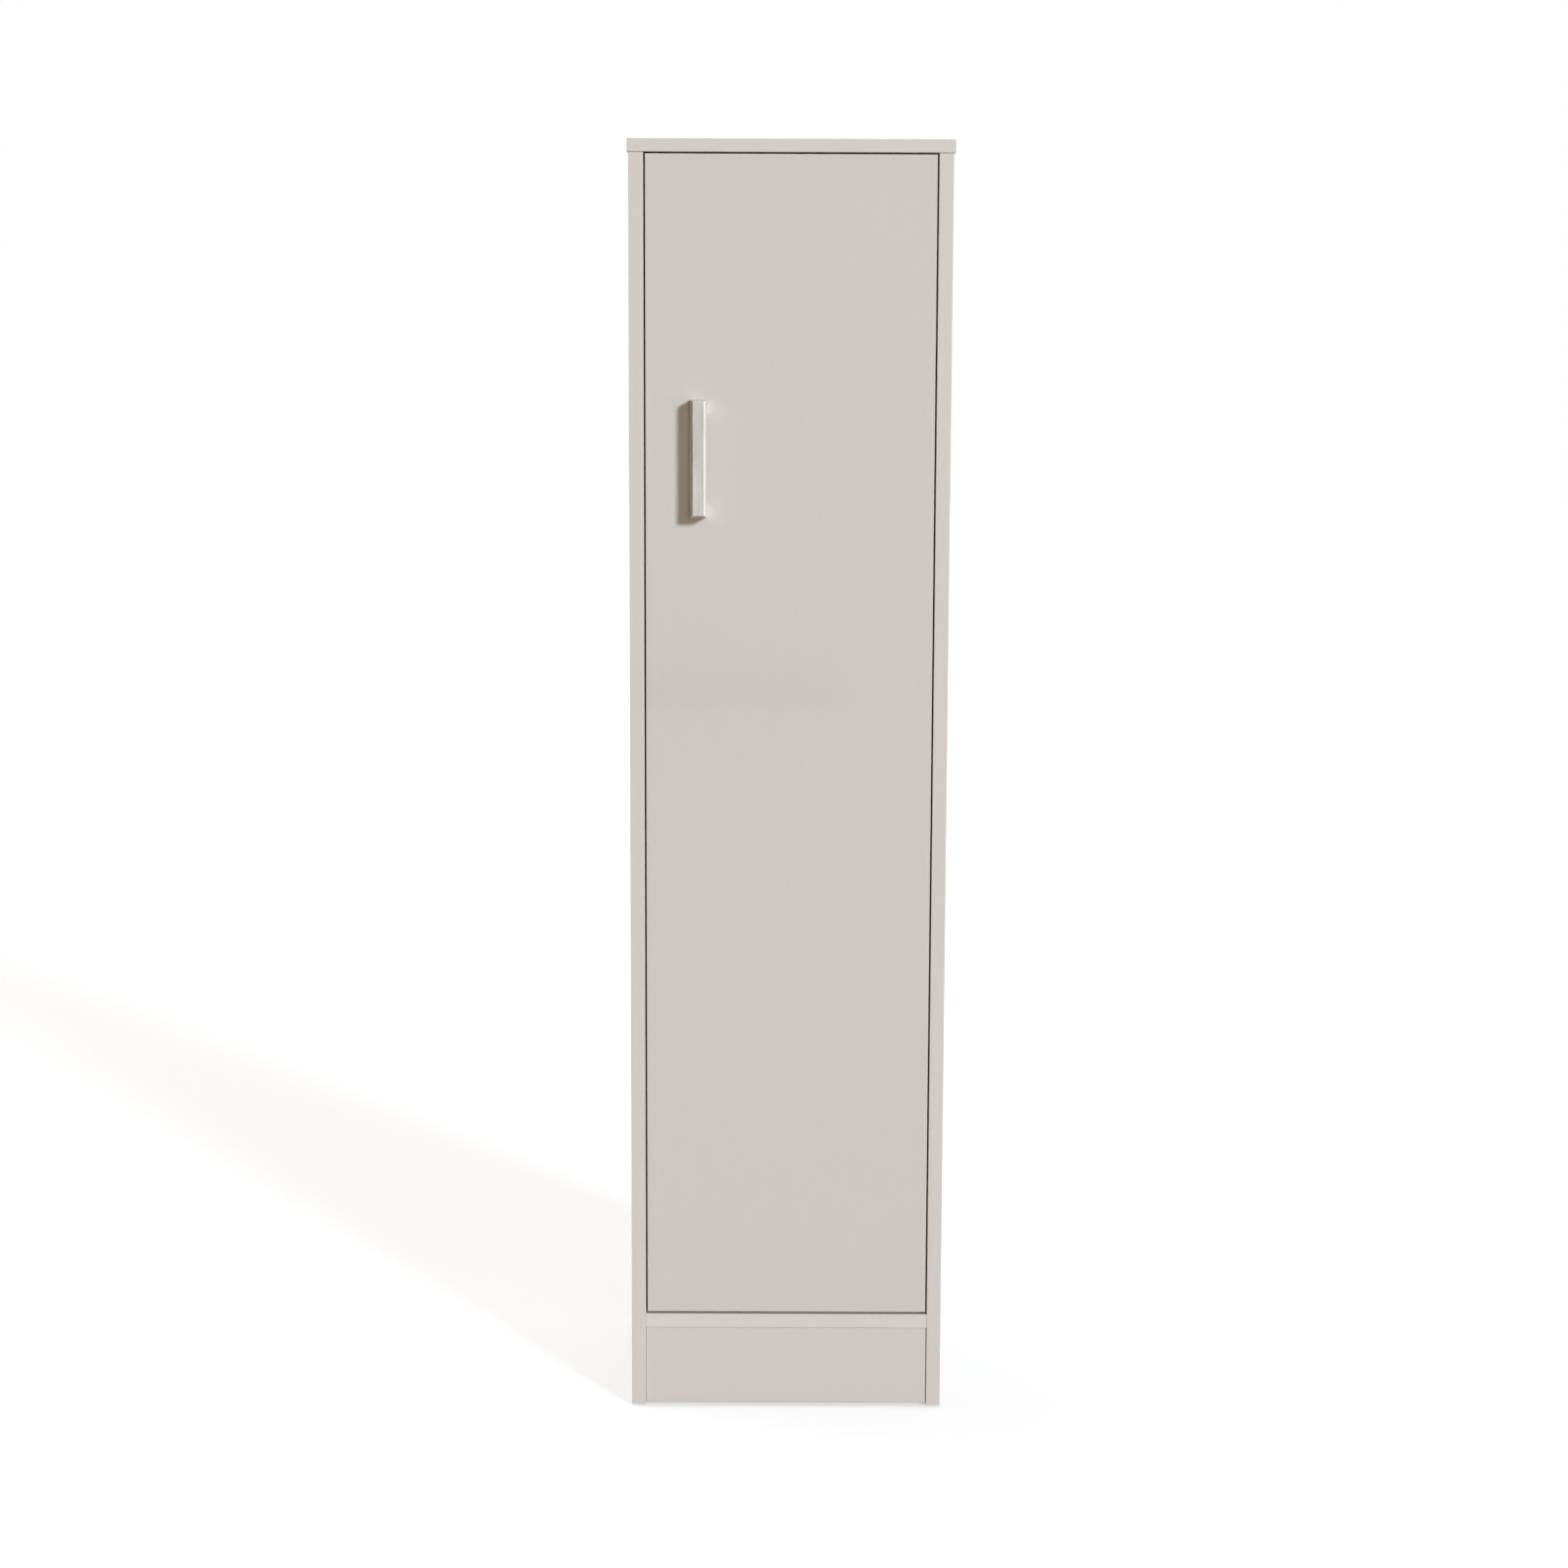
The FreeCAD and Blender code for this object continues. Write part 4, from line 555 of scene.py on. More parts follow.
def cam_lock():
    """Its open face is at z = 0, and the bolt comes in from +X."""
    edge = BROKEN_EDGE
    drum = turned([
        (0, 0), (CAM_RING - CAM_RING_WIDTH, 0), (CAM_RING, CAM_RING_WIDTH),
        (CAM_RING + CAM_RING_WIDTH, 0), (CAM_RADIUS - edge, 0), (CAM_RADIUS, edge),
        (CAM_RADIUS, CAM_HEIGHT - edge), (CAM_RADIUS - edge, CAM_HEIGHT), (0, CAM_HEIGHT),
    ], 48)
    window = block(-CAM_WINDOW, -CAM_WINDOW, CAM_BOLT_LEVEL - CAM_WINDOW,
                   2 * CAM_RADIUS, CAM_WINDOW, 2 * CAM_HEIGHT)
    return shaped(drum, taken=[window, cross(CAM_SLOT_REACH, CAM_SLOT, -MM, CAM_SLOT_DEPTH)])


def cam_lock_spots():
    """Those in the boards face down; those in the side panels face into the cupboard."""
    inner_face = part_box("right_side_panel")[0].x
    spots = []
    for low, high in solid_boxes("cam_locks"):
        middle = (low + high) / 2
        side = math.copysign(1, middle.x)
        if abs(middle.x) > inner_face:
            spots.append(spot_at((side * inner_face, middle.y, middle.z), (side, 0, 0), (0, 0, 1)))
        else:
            spots.append(spot_at((middle.x, middle.y, low.z), (0, 0, 1), (side, 0, 0)))
    return spots


set_out("slotted_cam_locks", cam_lock(), cam_lock_spots(),
        plated_metal("die_cast_zinc", CAST_PALE, CAST_DEEP, 0.42, 0.62, CAST_GRAIN, 0.04 * MM),
        "carcass", "cam_locks", 25)


# ------------------------------------------------------------------ back panel
# A 3 mm sheet of hardboard, slid up the grooves. Its inner face is lacquered to match the boards;
# its rear face is bare, brown and smooth, with the short dark fibres of the pressed pulp.

FIBRE_BROWN = "8A6242"
FIBRE_PALE = "A67F59"
FIBRE = 5 * MM
FIBRE_THIN = 0.9 * MM
FIBRE_HEIGHT = 0.04 * MM
PULP_CLOUD = 90 * MM     # slow clouds where the wet pulp lay thicker
PULP_SHARE = 0.4         # how much the clouds count beside the fibres
LACQUER = 0.3 * MM


def hardboard(name):
    material, tree, shader = new_material("hardboard")
    bare_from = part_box(name)[0].y + LACQUER
    place = add(tree, "TexCoord").outputs["Object"]
    spot = add(tree, "SeparateXYZ", {0: place})
    stretch = (1 / FIBRE, 1 / FIBRE, 1 / FIBRE_THIN)
    laid = add(tree, "VectorMath", {0: place, 1: stretch}, operation="MULTIPLY").outputs[0]
    fibres = add(tree, "TexNoise", {"Vector": laid, "Scale": 1.0, "Detail": 6.0, "Roughness": 0.7})
    clouds = add(tree, "TexNoise", {"Vector": place, "Scale": 1 / PULP_CLOUD, "Detail": 3.0})
    both = add(tree, "Math", {0: clouds.outputs["Fac"], 1: PULP_SHARE, 2: fibres.outputs["Fac"]},
               operation="MULTIPLY_ADD")
    spread = add(tree, "MapRange", {0: both.outputs[0], 1: 0.55, 2: 0.85})
    brown = blend_colours(tree, spread.outputs[0], linear(FIBRE_BROWN), linear(FIBRE_PALE))
    bare = add(tree, "Math", {0: spot.outputs["Y"], 1: bare_from}, operation="GREATER_THAN")
    colour = blend_colours(tree, bare.outputs[0], linear(MELAMINE_COOL), brown)
    rough = add(tree, "Mix", {0: bare.outputs[0], 2: 0.45, 3: 0.62}, data_type="FLOAT")
    dress(tree, shader, colour, rough.outputs[0], fibres.outputs["Fac"], FIBRE_HEIGHT)
    nodes[name].data.materials.clear()
    nodes[name].data.materials.append(material)


hardboard("back_panel")


# ------------------------------------------------------------------ back panel's nails
# Three round-headed wire nails hold the back panel's foot to the bottom board. The wire is gripped
# under the head as it is made, which leaves a few rings there. They are zinc plated.

NAIL_HEAD = 2 * MM
NAIL_HEAD_HEIGHT = 0.8 * MM
BACK_NAIL_RADIUS = 0.8 * MM
BACK_NAIL_LENGTH = 21 * MM


def nail(shank, length):
    """Head at z = 0, then grip rings, a plain shank and a point."""
    under = NAIL_HEAD_HEIGHT
    profile = [(0, 0), (NAIL_HEAD * 0.75, 0), (NAIL_HEAD, under / 3), (NAIL_HEAD, under * 2 / 3),
               (NAIL_HEAD * 0.9, under), (shank, under)]
    for ring in range(4):
        foot = under + (1 + ring * 0.8) * MM
        profile += [(shank, foot), (shank * 0.86, foot + 0.25 * MM), (shank, foot + 0.5 * MM)]
    return turned(profile + [(shank, under + length - 2 * shank), (0, under + length)], 24)


zinc_fixings("back_panel_nails", nail(BACK_NAIL_RADIUS, BACK_NAIL_LENGTH), "back_nails")


# ------------------------------------------------------------------ plinth braces
# Two moulded angles in the corners behind the plinth, each with a web between its legs. They are
# ABS, coloured to match the boards, and the mould's spark-eroded finish leaves them matt.

ABS_PALE = "CFC9C2"
ABS_DEEP = "C5BFB8"
MOULD_GRAIN = 0.35 * MM
MELT_DRIFT = 40 * MM     # slow drift of colour where the melt ran
BRACE_LEG = 30 * MM
BRACE_HEIGHT = 40 * MM
BRACE_THICK = 2.5 * MM
BRACE_SCREW_LINE = 18 * MM
SCREW_HOLE = 1.8 * MM
MOULDED_EDGE = 0.5 * MM


def moulded_plastic(name, pale, deep, smooth, matt, relief):
    """Moulded plastic: the mould's fine grain in its sheen, and the least drift of colour."""
    material, tree, shader = new_material(name)
    place = add(tree, "TexCoord").outputs["Object"]
    grain = add(tree, "TexNoise", {"Vector": place, "Scale": 1 / MOULD_GRAIN, "Detail": 3.0})
    drift = add(tree, "TexNoise", {"Vector": place, "Scale": 1 / MELT_DRIFT, "Detail": 1.0})
    colour = blend_colours(tree, drift.outputs["Fac"], linear(pale), linear(deep))
    sheen = add(tree, "MapRange", {0: grain.outputs["Fac"], 3: smooth, 4: matt})
    dress(tree, shader, colour, sheen.outputs[0], grain.outputs["Fac"], relief)
    shader.inputs["IOR"].default_value = 1.53
    return material


def plinth_brace():
    """One leg lies along +X and the other along +Y."""
    leg, thick, high = BRACE_LEG, BRACE_THICK, BRACE_HEIGHT
    angle = drawn([(0, 0), (leg, 0), (leg, thick), (thick, thick), (thick, leg), (0, leg)], 0, high)
    web = drawn([(0, 0), (leg - thick, 0), (0, leg - thick)], (high - thick) / 2, (high + thick) / 2)
    holes = []
    for z in (high / 4, high * 3 / 4):
        holes.append(rod("Y", BRACE_SCREW_LINE, z, SCREW_HOLE, -MM, thick + MM, 24))
        holes.append(rod("X", BRACE_SCREW_LINE, z, SCREW_HOLE, -MM, thick + MM, 24))
    return shaped(angle, [web], holes)


def plinth_brace_spots():
    spots = []
    for low, high in solid_boxes("plinth_braces"):
        left = low.x < 0
        corner = (low.x if left else high.x, low.y, low.z)
        spots.append(spot_at(corner, (0, 0, 1), (1, 0, 0) if left else (0, 1, 0)))
    return spots


def soften(piece, width, sharper_than=35, segments=3):
    """Rounds every edge of a piece that turns by more than an angle in degrees."""
    data = piece.data
    data.shade_smooth()
    if "sharp_edge" in data.attributes:
        data.attributes.remove(data.attributes["sharp_edge"])
    rounding = piece.modifiers.new("rounded_edges", "BEVEL")
    rounding.width = width
    rounding.segments = segments
    rounding.limit_method = "ANGLE"
    rounding.angle_limit = math.radians(sharper_than)
    rounding.harden_normals = True


braces = set_out("moulded_plinth_braces", plinth_brace(), plinth_brace_spots(),
                 moulded_plastic("grained_abs", ABS_PALE, ABS_DEEP, 0.42, 0.58, 0.03 * MM),
                 "carcass", "plinth_braces")
soften(braces, MOULDED_EDGE)


# ------------------------------------------------------------------ plinth braces' screws
# Eight small wood screws with round heads and a pressed cross recess. Their threads are sharp and
# steep, and run down to a point. They are zinc plated, like the bolts.

SMALL_SHANK = 1.75 * MM
SMALL_HEAD = 3.4 * MM
SMALL_PITCH = 1.7 * MM
SMALL_BITE = 12 * MM
SCREW_HEAD_HEIGHT = 2 * MM
RECESS_WIDTH = 1 * MM


def cross_screw(shank, grip, head, pitch, pointed):
    """From the top of its head, at z = 0, to its tip."""
    high = SCREW_HEAD_HEIGHT
    dome = [(0, 0), (0.6, 0), (0.76, 0.07), (0.9, 0.24), (0.98, 0.5), (1, 0.7), (0.98, 1)]
    blank = turned([(head * wide, high * level) for wide, level in dome] + [(0, high)])
    topped = shaped(blank, taken=[cross(head * 0.55, RECESS_WIDTH, -MM, high * 2 / 3)])
    shaft = bmesh.new()
    add_thread(shaft, shank, shank * 0.7, high * 0.9, high + grip, pitch,
               shank * (2 if pointed else 0.3))
    return together(topped, shaft)


def small_screw(sheet):
    """A small wood screw that holds down a sheet of the given thickness."""
    return cross_screw(SMALL_SHANK, sheet + SMALL_BITE, SMALL_HEAD, SMALL_PITCH, pointed=True)


zinc_fixings("plinth_brace_wood_screws", small_screw(BRACE_THICK), "plinth_brace_screws")


# ------------------------------------------------------------------ floor glides
# Four polyethylene discs nailed under the side panels: milky, waxy, bevelled at the foot, with a
# sunk hole so that the nail's head never touches the floor.

WAXY_WHITE = "E4E1DA"
WAXY_GREY = "D8D4CB"
GLIDE_RADIUS = 7.5 * MM
GLIDE_HEIGHT = 3 * MM
GLIDE_BEVEL = 1 * MM
GLIDE_HOLE = 1.05 * MM
GLIDE_SINK = 2.05 * MM
GLIDE_NAIL_RADIUS = 1 * MM
GLIDE_NAIL_LENGTH = 15.5 * MM


def floor_glide():
    """A ring about its nail, with its foot at z = 0."""
    return turned([
        (GLIDE_HOLE, GLIDE_HEIGHT), (GLIDE_RADIUS, GLIDE_HEIGHT),
        *arc(GLIDE_RADIUS - GLIDE_BEVEL, GLIDE_BEVEL, GLIDE_BEVEL, 0, -90, 6),
        (GLIDE_SINK, 0), (GLIDE_SINK, GLIDE_HEIGHT / 2), (GLIDE_HOLE, GLIDE_HEIGHT / 2),
    ], 64, open_middle=True)


def upright_spots(node):
    """A frame under the middle of each solid of a node, with +Z up."""
    spots = []
    for low, high in solid_boxes(node):
        spots.append(spot_at(((low.x + high.x) / 2, (low.y + high.y) / 2, low.z), (0, 0, 1)))
    return spots


set_out("bevelled_floor_glides", floor_glide(), upright_spots("floor_glides"),
        moulded_plastic("waxy_polyethylene", WAXY_WHITE, WAXY_GREY, 0.30, 0.42, 0.01 * MM),
        "carcass", "floor_glides")
zinc_fixings("floor_glide_nails", nail(GLIDE_NAIL_RADIUS, GLIDE_NAIL_LENGTH), "glide_nails")


# ------------------------------------------------------------------ wall bracket
# A pressed steel angle, folded from 2 mm strip with its corners clipped round. It is screwed up
# under the top board and lies against the back, where the wall screw goes through. Zinc plated.

BRACKET_WIDTH = 40 * MM
BRACKET_LEG = 32 * MM
BRACKET_THICK = 2 * MM
BRACKET_FOLD = 2.5 * MM
BRACKET_CORNER = 5 * MM
BRACKET_SCREW_LINE = 19 * MM
BRACKET_SCREW_SPREAD = 10 * MM
WALL_SCREW_DROP = 20 * MM
WALL_SCREW_HOLE = 3 * MM
PRESSED_EDGE = 0.25 * MM


def bevel(form, edges, width, segments):
    """Cuts some edges of a form flat, or rounds them where there are more segments than one."""
    bmesh.ops.bevel(form, geom=edges, offset=width, offset_type="OFFSET", segments=segments,
                    affect="EDGES", profile=0.5)


def wall_bracket():
    """Its frame is at the middle of its fold, under the top board and against the back."""
    half = BRACKET_WIDTH / 2
    leg, thick, inner = BRACKET_LEG, BRACKET_THICK, BRACKET_FOLD - BRACKET_THICK
    strip = drawn([
        (-leg, 0), *arc(-BRACKET_FOLD, -BRACKET_FOLD, BRACKET_FOLD, 90, 0), (0, -leg),
        (-thick, -leg), *arc(-BRACKET_FOLD, -BRACKET_FOLD, inner, 0, 90), (-leg, -thick),
    ], -half, half, "X")
    tips = [edge for edge in strip.edges
            if abs(edge.calc_length() - thick) < MM / 100 and abs(edge.verts[0].co.x) > half * 0.99
            and min(edge.verts[0].co.y, edge.verts[0].co.z) < -leg * 0.99]
    bevel(strip, tips, BRACKET_CORNER, 6)
    holes = [rod("Y", 0, -WALL_SCREW_DROP, WALL_SCREW_HOLE, -2 * thick, thick, 32)]
    holes += [rod("Z", side * BRACKET_SCREW_SPREAD, -BRACKET_SCREW_LINE, SCREW_HOLE,
                  -2 * thick, thick, 24) for side in (-1, 1)]
    return shaped(strip, taken=holes)


bracket_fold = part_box("wall_bracket")[1]
bracket = set_out("folded_wall_bracket", wall_bracket(),
                  [Matrix.Translation((0, bracket_fold.y, bracket_fold.z))], zinc_plate, "carcass",
                  "wall_bracket")
soften(bracket, PRESSED_EDGE, 50, 2)
zinc_fixings("wall_bracket_wood_screws", small_screw(BRACKET_THICK), "wall_bracket_screws")


# ------------------------------------------------------------------ door bumpers
# Two clear polyurethane domes stuck on the shelf's front edge, where the closing door meets them.
# They are cast, not moulded, so their crowns are glossy and smooth.

BUMPER_TINT = "F4F2EA"
BUMPER_RADIUS = 4 * MM
BUMPER_GLUE = 0.1 * MM
BUMPER_HEIGHT = 2.1 * MM
BUMPER_RIM = 0.6 * MM
CAST_WAVE = 3 * MM
CAST_WAVE_HEIGHT = 0.01 * MM


def clear_polyurethane():
    """Clear and slightly yellow, with the faintest waviness on its crown."""
    material, tree, shader = new_material("clear_polyurethane")
    place = add(tree, "TexCoord").outputs["Object"]
    wave = add(tree, "TexNoise", {"Vector": place, "Scale": 1 / CAST_WAVE, "Detail": 1.0})
    bump = add(tree, "Bump", {"Height": wave.outputs["Fac"], "Distance": CAST_WAVE_HEIGHT})
    tree.links.new(bump.outputs[0], shader.inputs["Normal"])
    gloss = add(tree, "MapRange", {0: wave.outputs["Fac"], 3: 0.06, 4: 0.12})
    tree.links.new(gloss.outputs[0], shader.inputs["Roughness"])
    shader.inputs["Base Color"].default_value = linear(BUMPER_TINT)
    shader.inputs["Transmission Weight"].default_value = 1.0
    shader.inputs["IOR"].default_value = 1.5
    # the lamps shine through it, so it leaves no dark spot on the board
    path = add(tree, "LightPath").outputs
    clear = add(tree, "BsdfTransparent", {0: linear(BUMPER_TINT)})
    lit = add(tree, "MixShader", {0: path["Is Shadow Ray"], 1: shader.outputs[0],
                                  2: clear.outputs[0]})
    tree.links.new(lit.outputs[0], tree.nodes["Material Output"].inputs["Surface"])
    return material


def door_bumper():
    rise = BUMPER_HEIGHT - BUMPER_RIM
    crown = [(BUMPER_RADIUS * math.cos(turn), BUMPER_RIM + rise * math.sin(turn))
             for turn in (math.radians(10 * step) for step in range(9))]
    return turned([(0, 0), (BUMPER_RADIUS, 0), *crown, (0, BUMPER_HEIGHT)], 48)


def bumper_spots():
    spots = []
    for low, high in solid_boxes("door_bumpers"):
        middle = (low + high) / 2
        spots.append(spot_at((middle.x, high.y - BUMPER_GLUE, middle.z), (0, -1, 0)))
    return spots


set_out("clear_door_bumpers", door_bumper(), bumper_spots(), clear_polyurethane(), "carcass",
        "door_bumpers", 60)


# ------------------------------------------------------------------ hinge mounting plates
# Three die-cast plates on the right-hand side panel, each with a pair of wings for its screws and
# a rib that fills the hinge's arm. They are nickel plated, a warmer and softer grey than the zinc.

NICKEL_PLATE_PALE = "E0DCD5"
NICKEL_PLATE_DEEP = "CDC8C0"
NICKEL_CLOUD = 4 * MM
PLATE_LINE = 57 * MM
PLATE_HALF = 25 * MM
PLATE_WING = 9 * MM
PLATE_THICK = 3 * MM
PLATE_SCREW_SPREAD = 16 * MM
PLATE_SCREW_HOLE = 2.55 * MM
PLATE_SCREW_SHANK = 2.45 * MM
PLATE_SCREW_BITE = 11 * MM
PLATE_SCREW_HEAD = 3.8 * MM
PLATE_SCREW_PITCH = 2.2 * MM
RIB_HALF = 19 * MM
RIB_FLANK = 5.8 * MM
RIB_CREST = 14.5 * MM
ARM_SCREW_HOLE = 2.25 * MM
ARM_SCREW_SPREAD = 10 * MM
ARM_SCREW_DEPTH = 7.5 * MM
CAST_EDGE = 0.5 * MM

nickel_plate = plated_metal("nickel_plated_steel", NICKEL_PLATE_PALE, NICKEL_PLATE_DEEP,
                            0.20, 0.28, NICKEL_CLOUD, 0.003 * MM, (1, 0.2, 1))


def hinge_spots(node):
    """Each hinge's frame: where the side panel meets the body's front, at the hinge's middle."""
    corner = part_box("right_side_panel")[0]
    spots = []
    for low, high in solid_boxes(node):
        spots.append(Matrix.Translation((corner.x, corner.y, (low.z + high.z) / 2)))
    return spots


def hinge_pieces(name, form, node, body, edge=PRESSED_EDGE, sharper_than=50, segments=2):
    """Sets out a nickel-plated form in each hinge, and rounds its edges."""
    pieces = set_out(name, form, hinge_spots(node), nickel_plate, body, node)
    soften(pieces, edge, sharper_than, segments)


def mounting_plate():
    """+Y runs back from the body's front, and -X away from the side panel."""
    straight = PLATE_HALF - PLATE_WING
    wings = drawn([*arc(PLATE_LINE, straight, PLATE_WING, 0, 180, 16),
                   *arc(PLATE_LINE, -straight, PLATE_WING, 180, 360, 16)], -PLATE_THICK, 0, "X")
    rib = block(-RIB_CREST, PLATE_LINE - RIB_HALF, -RIB_FLANK, 0, PLATE_LINE + RIB_HALF, RIB_FLANK)
    holes = [rod("X", PLATE_LINE, side * PLATE_SCREW_SPREAD, PLATE_SCREW_HOLE, -2 * PLATE_THICK,
                 MM, 32) for side in (-1, 1)]
    holes += [rod("X", PLATE_LINE + side * ARM_SCREW_SPREAD, 0, ARM_SCREW_HOLE, -RIB_CREST - MM,
                  -RIB_CREST + ARM_SCREW_DEPTH, 32) for side in (-1, 1)]
    return shaped(wings, [rib], holes)


hinge_pieces("hinge_mounting_plates_cast", mounting_plate(), "hinge_mounting_plates", "carcass",
             CAST_EDGE, sharper_than=35, segments=3)
plate_screw = cross_screw(PLATE_SCREW_SHANK, PLATE_THICK + PLATE_SCREW_BITE, PLATE_SCREW_HEAD,
                          PLATE_SCREW_PITCH, pointed=False)
zinc_fixings("hinge_plate_wood_screws", plate_screw, "hinge_plate_screws")


# ------------------------------------------------------------------ hinge arms
# Three steel channels, pressed from 1.5 mm strip and open towards the side panel, each with a
# round nose for the arm link's pin. A screw at the rear fixes the arm to its plate, and one in
# front moves it sideways.

ARM_HIGH = 16 * MM
ARM_LOW = 5 * MM
ARM_REAR = 80 * MM
ARM_OUTER = 7.6 * MM
ARM_INNER = 6.1 * MM
ARM_NOSE = 4.5 * MM
ARM_MOUTH = 8 * MM
ARM_BEND = 1.4 * MM
ARM_SCREW_SHANK = 2.2 * MM
ARM_SCREW_GRIP = 8.5 * MM
ARM_SCREW_HEAD = 4 * MM
ARM_SCREW_PITCH = 0.8 * MM
STRIP = 1.5 * MM
PIN_HOLE = 1.55 * MM
PIN_RADIUS = 1.5 * MM
PIVOT_DEPTH = 5.5 * MM
DOOR_THICK = 18 * MM
SIDE_GAP = 2 * MM
CUP_MIDDLE = -23.5 * MM
LINK = 30 * MM
LINK_ANGLE = math.radians(111)

link_run = Vector((math.cos(LINK_ANGLE), math.sin(LINK_ANGLE))) * LINK
cup_pivot = Vector((CUP_MIDDLE, DOOR_THICK - PIVOT_DEPTH))
elbow = cup_pivot + link_run
arm_pivot = Vector((-SIDE_GAP, 0)) + link_run


def hinge_arm():
    x, y = arm_pivot
    shoulder = math.degrees(math.acos((ARM_HIGH + x) / ARM_NOSE))
    channel = drawn([(-ARM_HIGH, ARM_REAR), (-ARM_LOW, ARM_REAR), (-ARM_LOW, y),
                     *arc(x, y, ARM_NOSE, 0, shoulder - 180 - 2 * shoulder, 24)],
                    -ARM_OUTER, ARM_OUTER)
    folds = [edge for edge in channel.edges
             if edge.calc_length() > ARM_REAR / 2
             and all(abs(vert.co.x + ARM_HIGH) < MM / 10 for vert in edge.verts)]
    bevel(channel, folds, ARM_BEND, 5)
    front = y - 2 * ARM_NOSE
    inside = block(STRIP - ARM_HIGH, front, -ARM_INNER, 0, ARM_REAR + MM, ARM_INNER)
    mouth = block(-2 * ARM_HIGH, front, -ARM_INNER, 0, y + ARM_MOUTH, ARM_INNER)
    holes = [rod("Z", x, y, PIN_HOLE, -2 * ARM_OUTER, 2 * ARM_OUTER, 32)]
    holes += [rod("X", PLATE_LINE + side * ARM_SCREW_SPREAD, 0, ARM_SCREW_HOLE, -ARM_HIGH - MM,
                  MM - ARM_HIGH + STRIP, 32) for side in (-1, 1)]
    return shaped(channel, taken=[inside, mouth, *holes])


hinge_pieces("pressed_hinge_arms", hinge_arm(), "hinge_arms", "carcass", sharper_than=40)
for job in ("fixing", "adjusting"):
    arm_screw = cross_screw(ARM_SCREW_SHANK, ARM_SCREW_GRIP, ARM_SCREW_HEAD, ARM_SCREW_PITCH,
                            pointed=False)
    zinc_fixings("hinge_" + job + "_machine_screws", arm_screw, "hinge_" + job + "_screws")


# ------------------------------------------------------------------ hinge pins
# Nine drawn steel pins on which the links turn. Their ends are broken by a small chamfer and lie
# flush with the plates they go through. Bare, oiled steel: darker and smoother than the plating.

STEEL_PALE = "B4B2AF"
STEEL_DEEP = "8F8D8A"

pin_steel = plated_metal("drawn_bright_steel", STEEL_PALE, STEEL_DEEP, 0.16, 0.26, 1 * MM,
                         0.004 * MM, (1, 1, 0.1))


def hinge_pins(name, node, body):
    low, high = solid_boxes(node)[0]
    length, edge = high.z - low.z, BROKEN_EDGE
    pin = turned([(0, 0), (PIN_RADIUS - edge, 0), (PIN_RADIUS, edge), (PIN_RADIUS, length - edge),
                  (PIN_RADIUS - edge, length), (0, length)], 24)
    set_out(name, pin, upright_spots(node), pin_steel, body, node)


hinge_pins("hinge_arm_pivot_pins", "hinge_arm_pins", "carcass")
hinge_pins("hinge_cup_pivot_pins", "hinge_cup_pins", "door")
hinge_pins("hinge_elbow_pivot_pins", "hinge_elbow_pins", "arm_links")


# ------------------------------------------------------------------ hinge links
# Two pressed links join each cup to its arm. The arm link is a folded strip of two plates and a
# web; the cup link is a solid cranked bar that reaches out of the cup round the door's corner.

LINK_EYE = 3.2 * MM
BAR_HALF = 2 * MM
BAR_DEPTH = 4 * MM
CRANK_NEAR = (8 * MM, 7 * MM)
CRANK_FAR = (20 * MM, 9 * MM)
LINK_OUTER = 5.8 * MM
LINK_INNER = 4.3 * MM
WEB_CLEAR = 5 * MM


def bar_view(points, half, eye):
    """The outline of a bent bar of one width that ends in two round eyes."""
    view = []
    for run in (points, points[::-1]):
        ways = [(Vector(end) - Vector(start)).normalized() for start, end in zip(run, run[1:])]
        for middle, before, after in zip(run[1:-1], ways, ways[1:]):
            near, far = [Vector((-way.y, way.x)) for way in (before, after)]
            if before.cross(after) > 0:
                view.append(tuple(Vector(middle) + (near + far) * half / (1 + near.dot(far))))
            else:
                start, end = [math.degrees(math.atan2(side.y, side.x)) for side in (near, far)]
                view += arc(*middle, half, start, end - 360 if end > start else end, 6)
        ahead = math.degrees(math.atan2(ways[-1].y, ways[-1].x))
        opening = 180 - math.degrees(math.asin(half / eye))
        view += arc(*run[-1], eye, ahead + opening, ahead - opening, 28)
    return view


def cup_link():
    left = Vector((-link_run.y, link_run.x))
    cranks = [cup_pivot + (run * link_run + rise * left) / LINK
              for run, rise in (CRANK_NEAR, CRANK_FAR)]
    bar = drawn(bar_view([tuple(spot) for spot in (cup_pivot, *cranks, elbow)], BAR_HALF, LINK_EYE),
                -BAR_DEPTH, BAR_DEPTH)
    return shaped(bar, taken=[rod("Z", *spot, PIN_HOLE, -2 * BAR_DEPTH, 2 * BAR_DEPTH, 32)
                              for spot in (cup_pivot, elbow)])


def arm_link():
    run = elbow - arm_pivot
    length = run.length
    way = run.normalized()
    left = Vector((-way.y, way.x))

    def cavity(start, end, low, high):
        """Room between the two plates, given along the link and beside it."""
        view = [arm_pivot + way * along + left * beside
                for along, beside in ((start, low), (end, low), (end, high), (start, high))]
        return drawn([tuple(spot) for spot in view], -LINK_INNER, LINK_INNER)

    plates = drawn(bar_view([tuple(arm_pivot), tuple(elbow)], LINK_EYE, LINK_EYE * 1.0001),
                   -LINK_OUTER, LINK_OUTER)
    far = 2 * LINK_EYE
    cavities = [cavity(-far, length + far, STRIP - LINK_EYE, far), cavity(-far, WEB_CLEAR, -far, far),
                cavity(length - WEB_CLEAR, length + far, -far, far)]
    holes = [rod("Z", *spot, PIN_HOLE, -2 * LINK_OUTER, 2 * LINK_OUTER, 32)
             for spot in (arm_pivot, elbow)]
    return shaped(plates, taken=cavities + holes)


hinge_pieces("cranked_cup_links", cup_link(), "hinge_cup_links", "cup_links")
hinge_pieces("folded_arm_links", arm_link(), "hinge_arm_links", "arm_links")


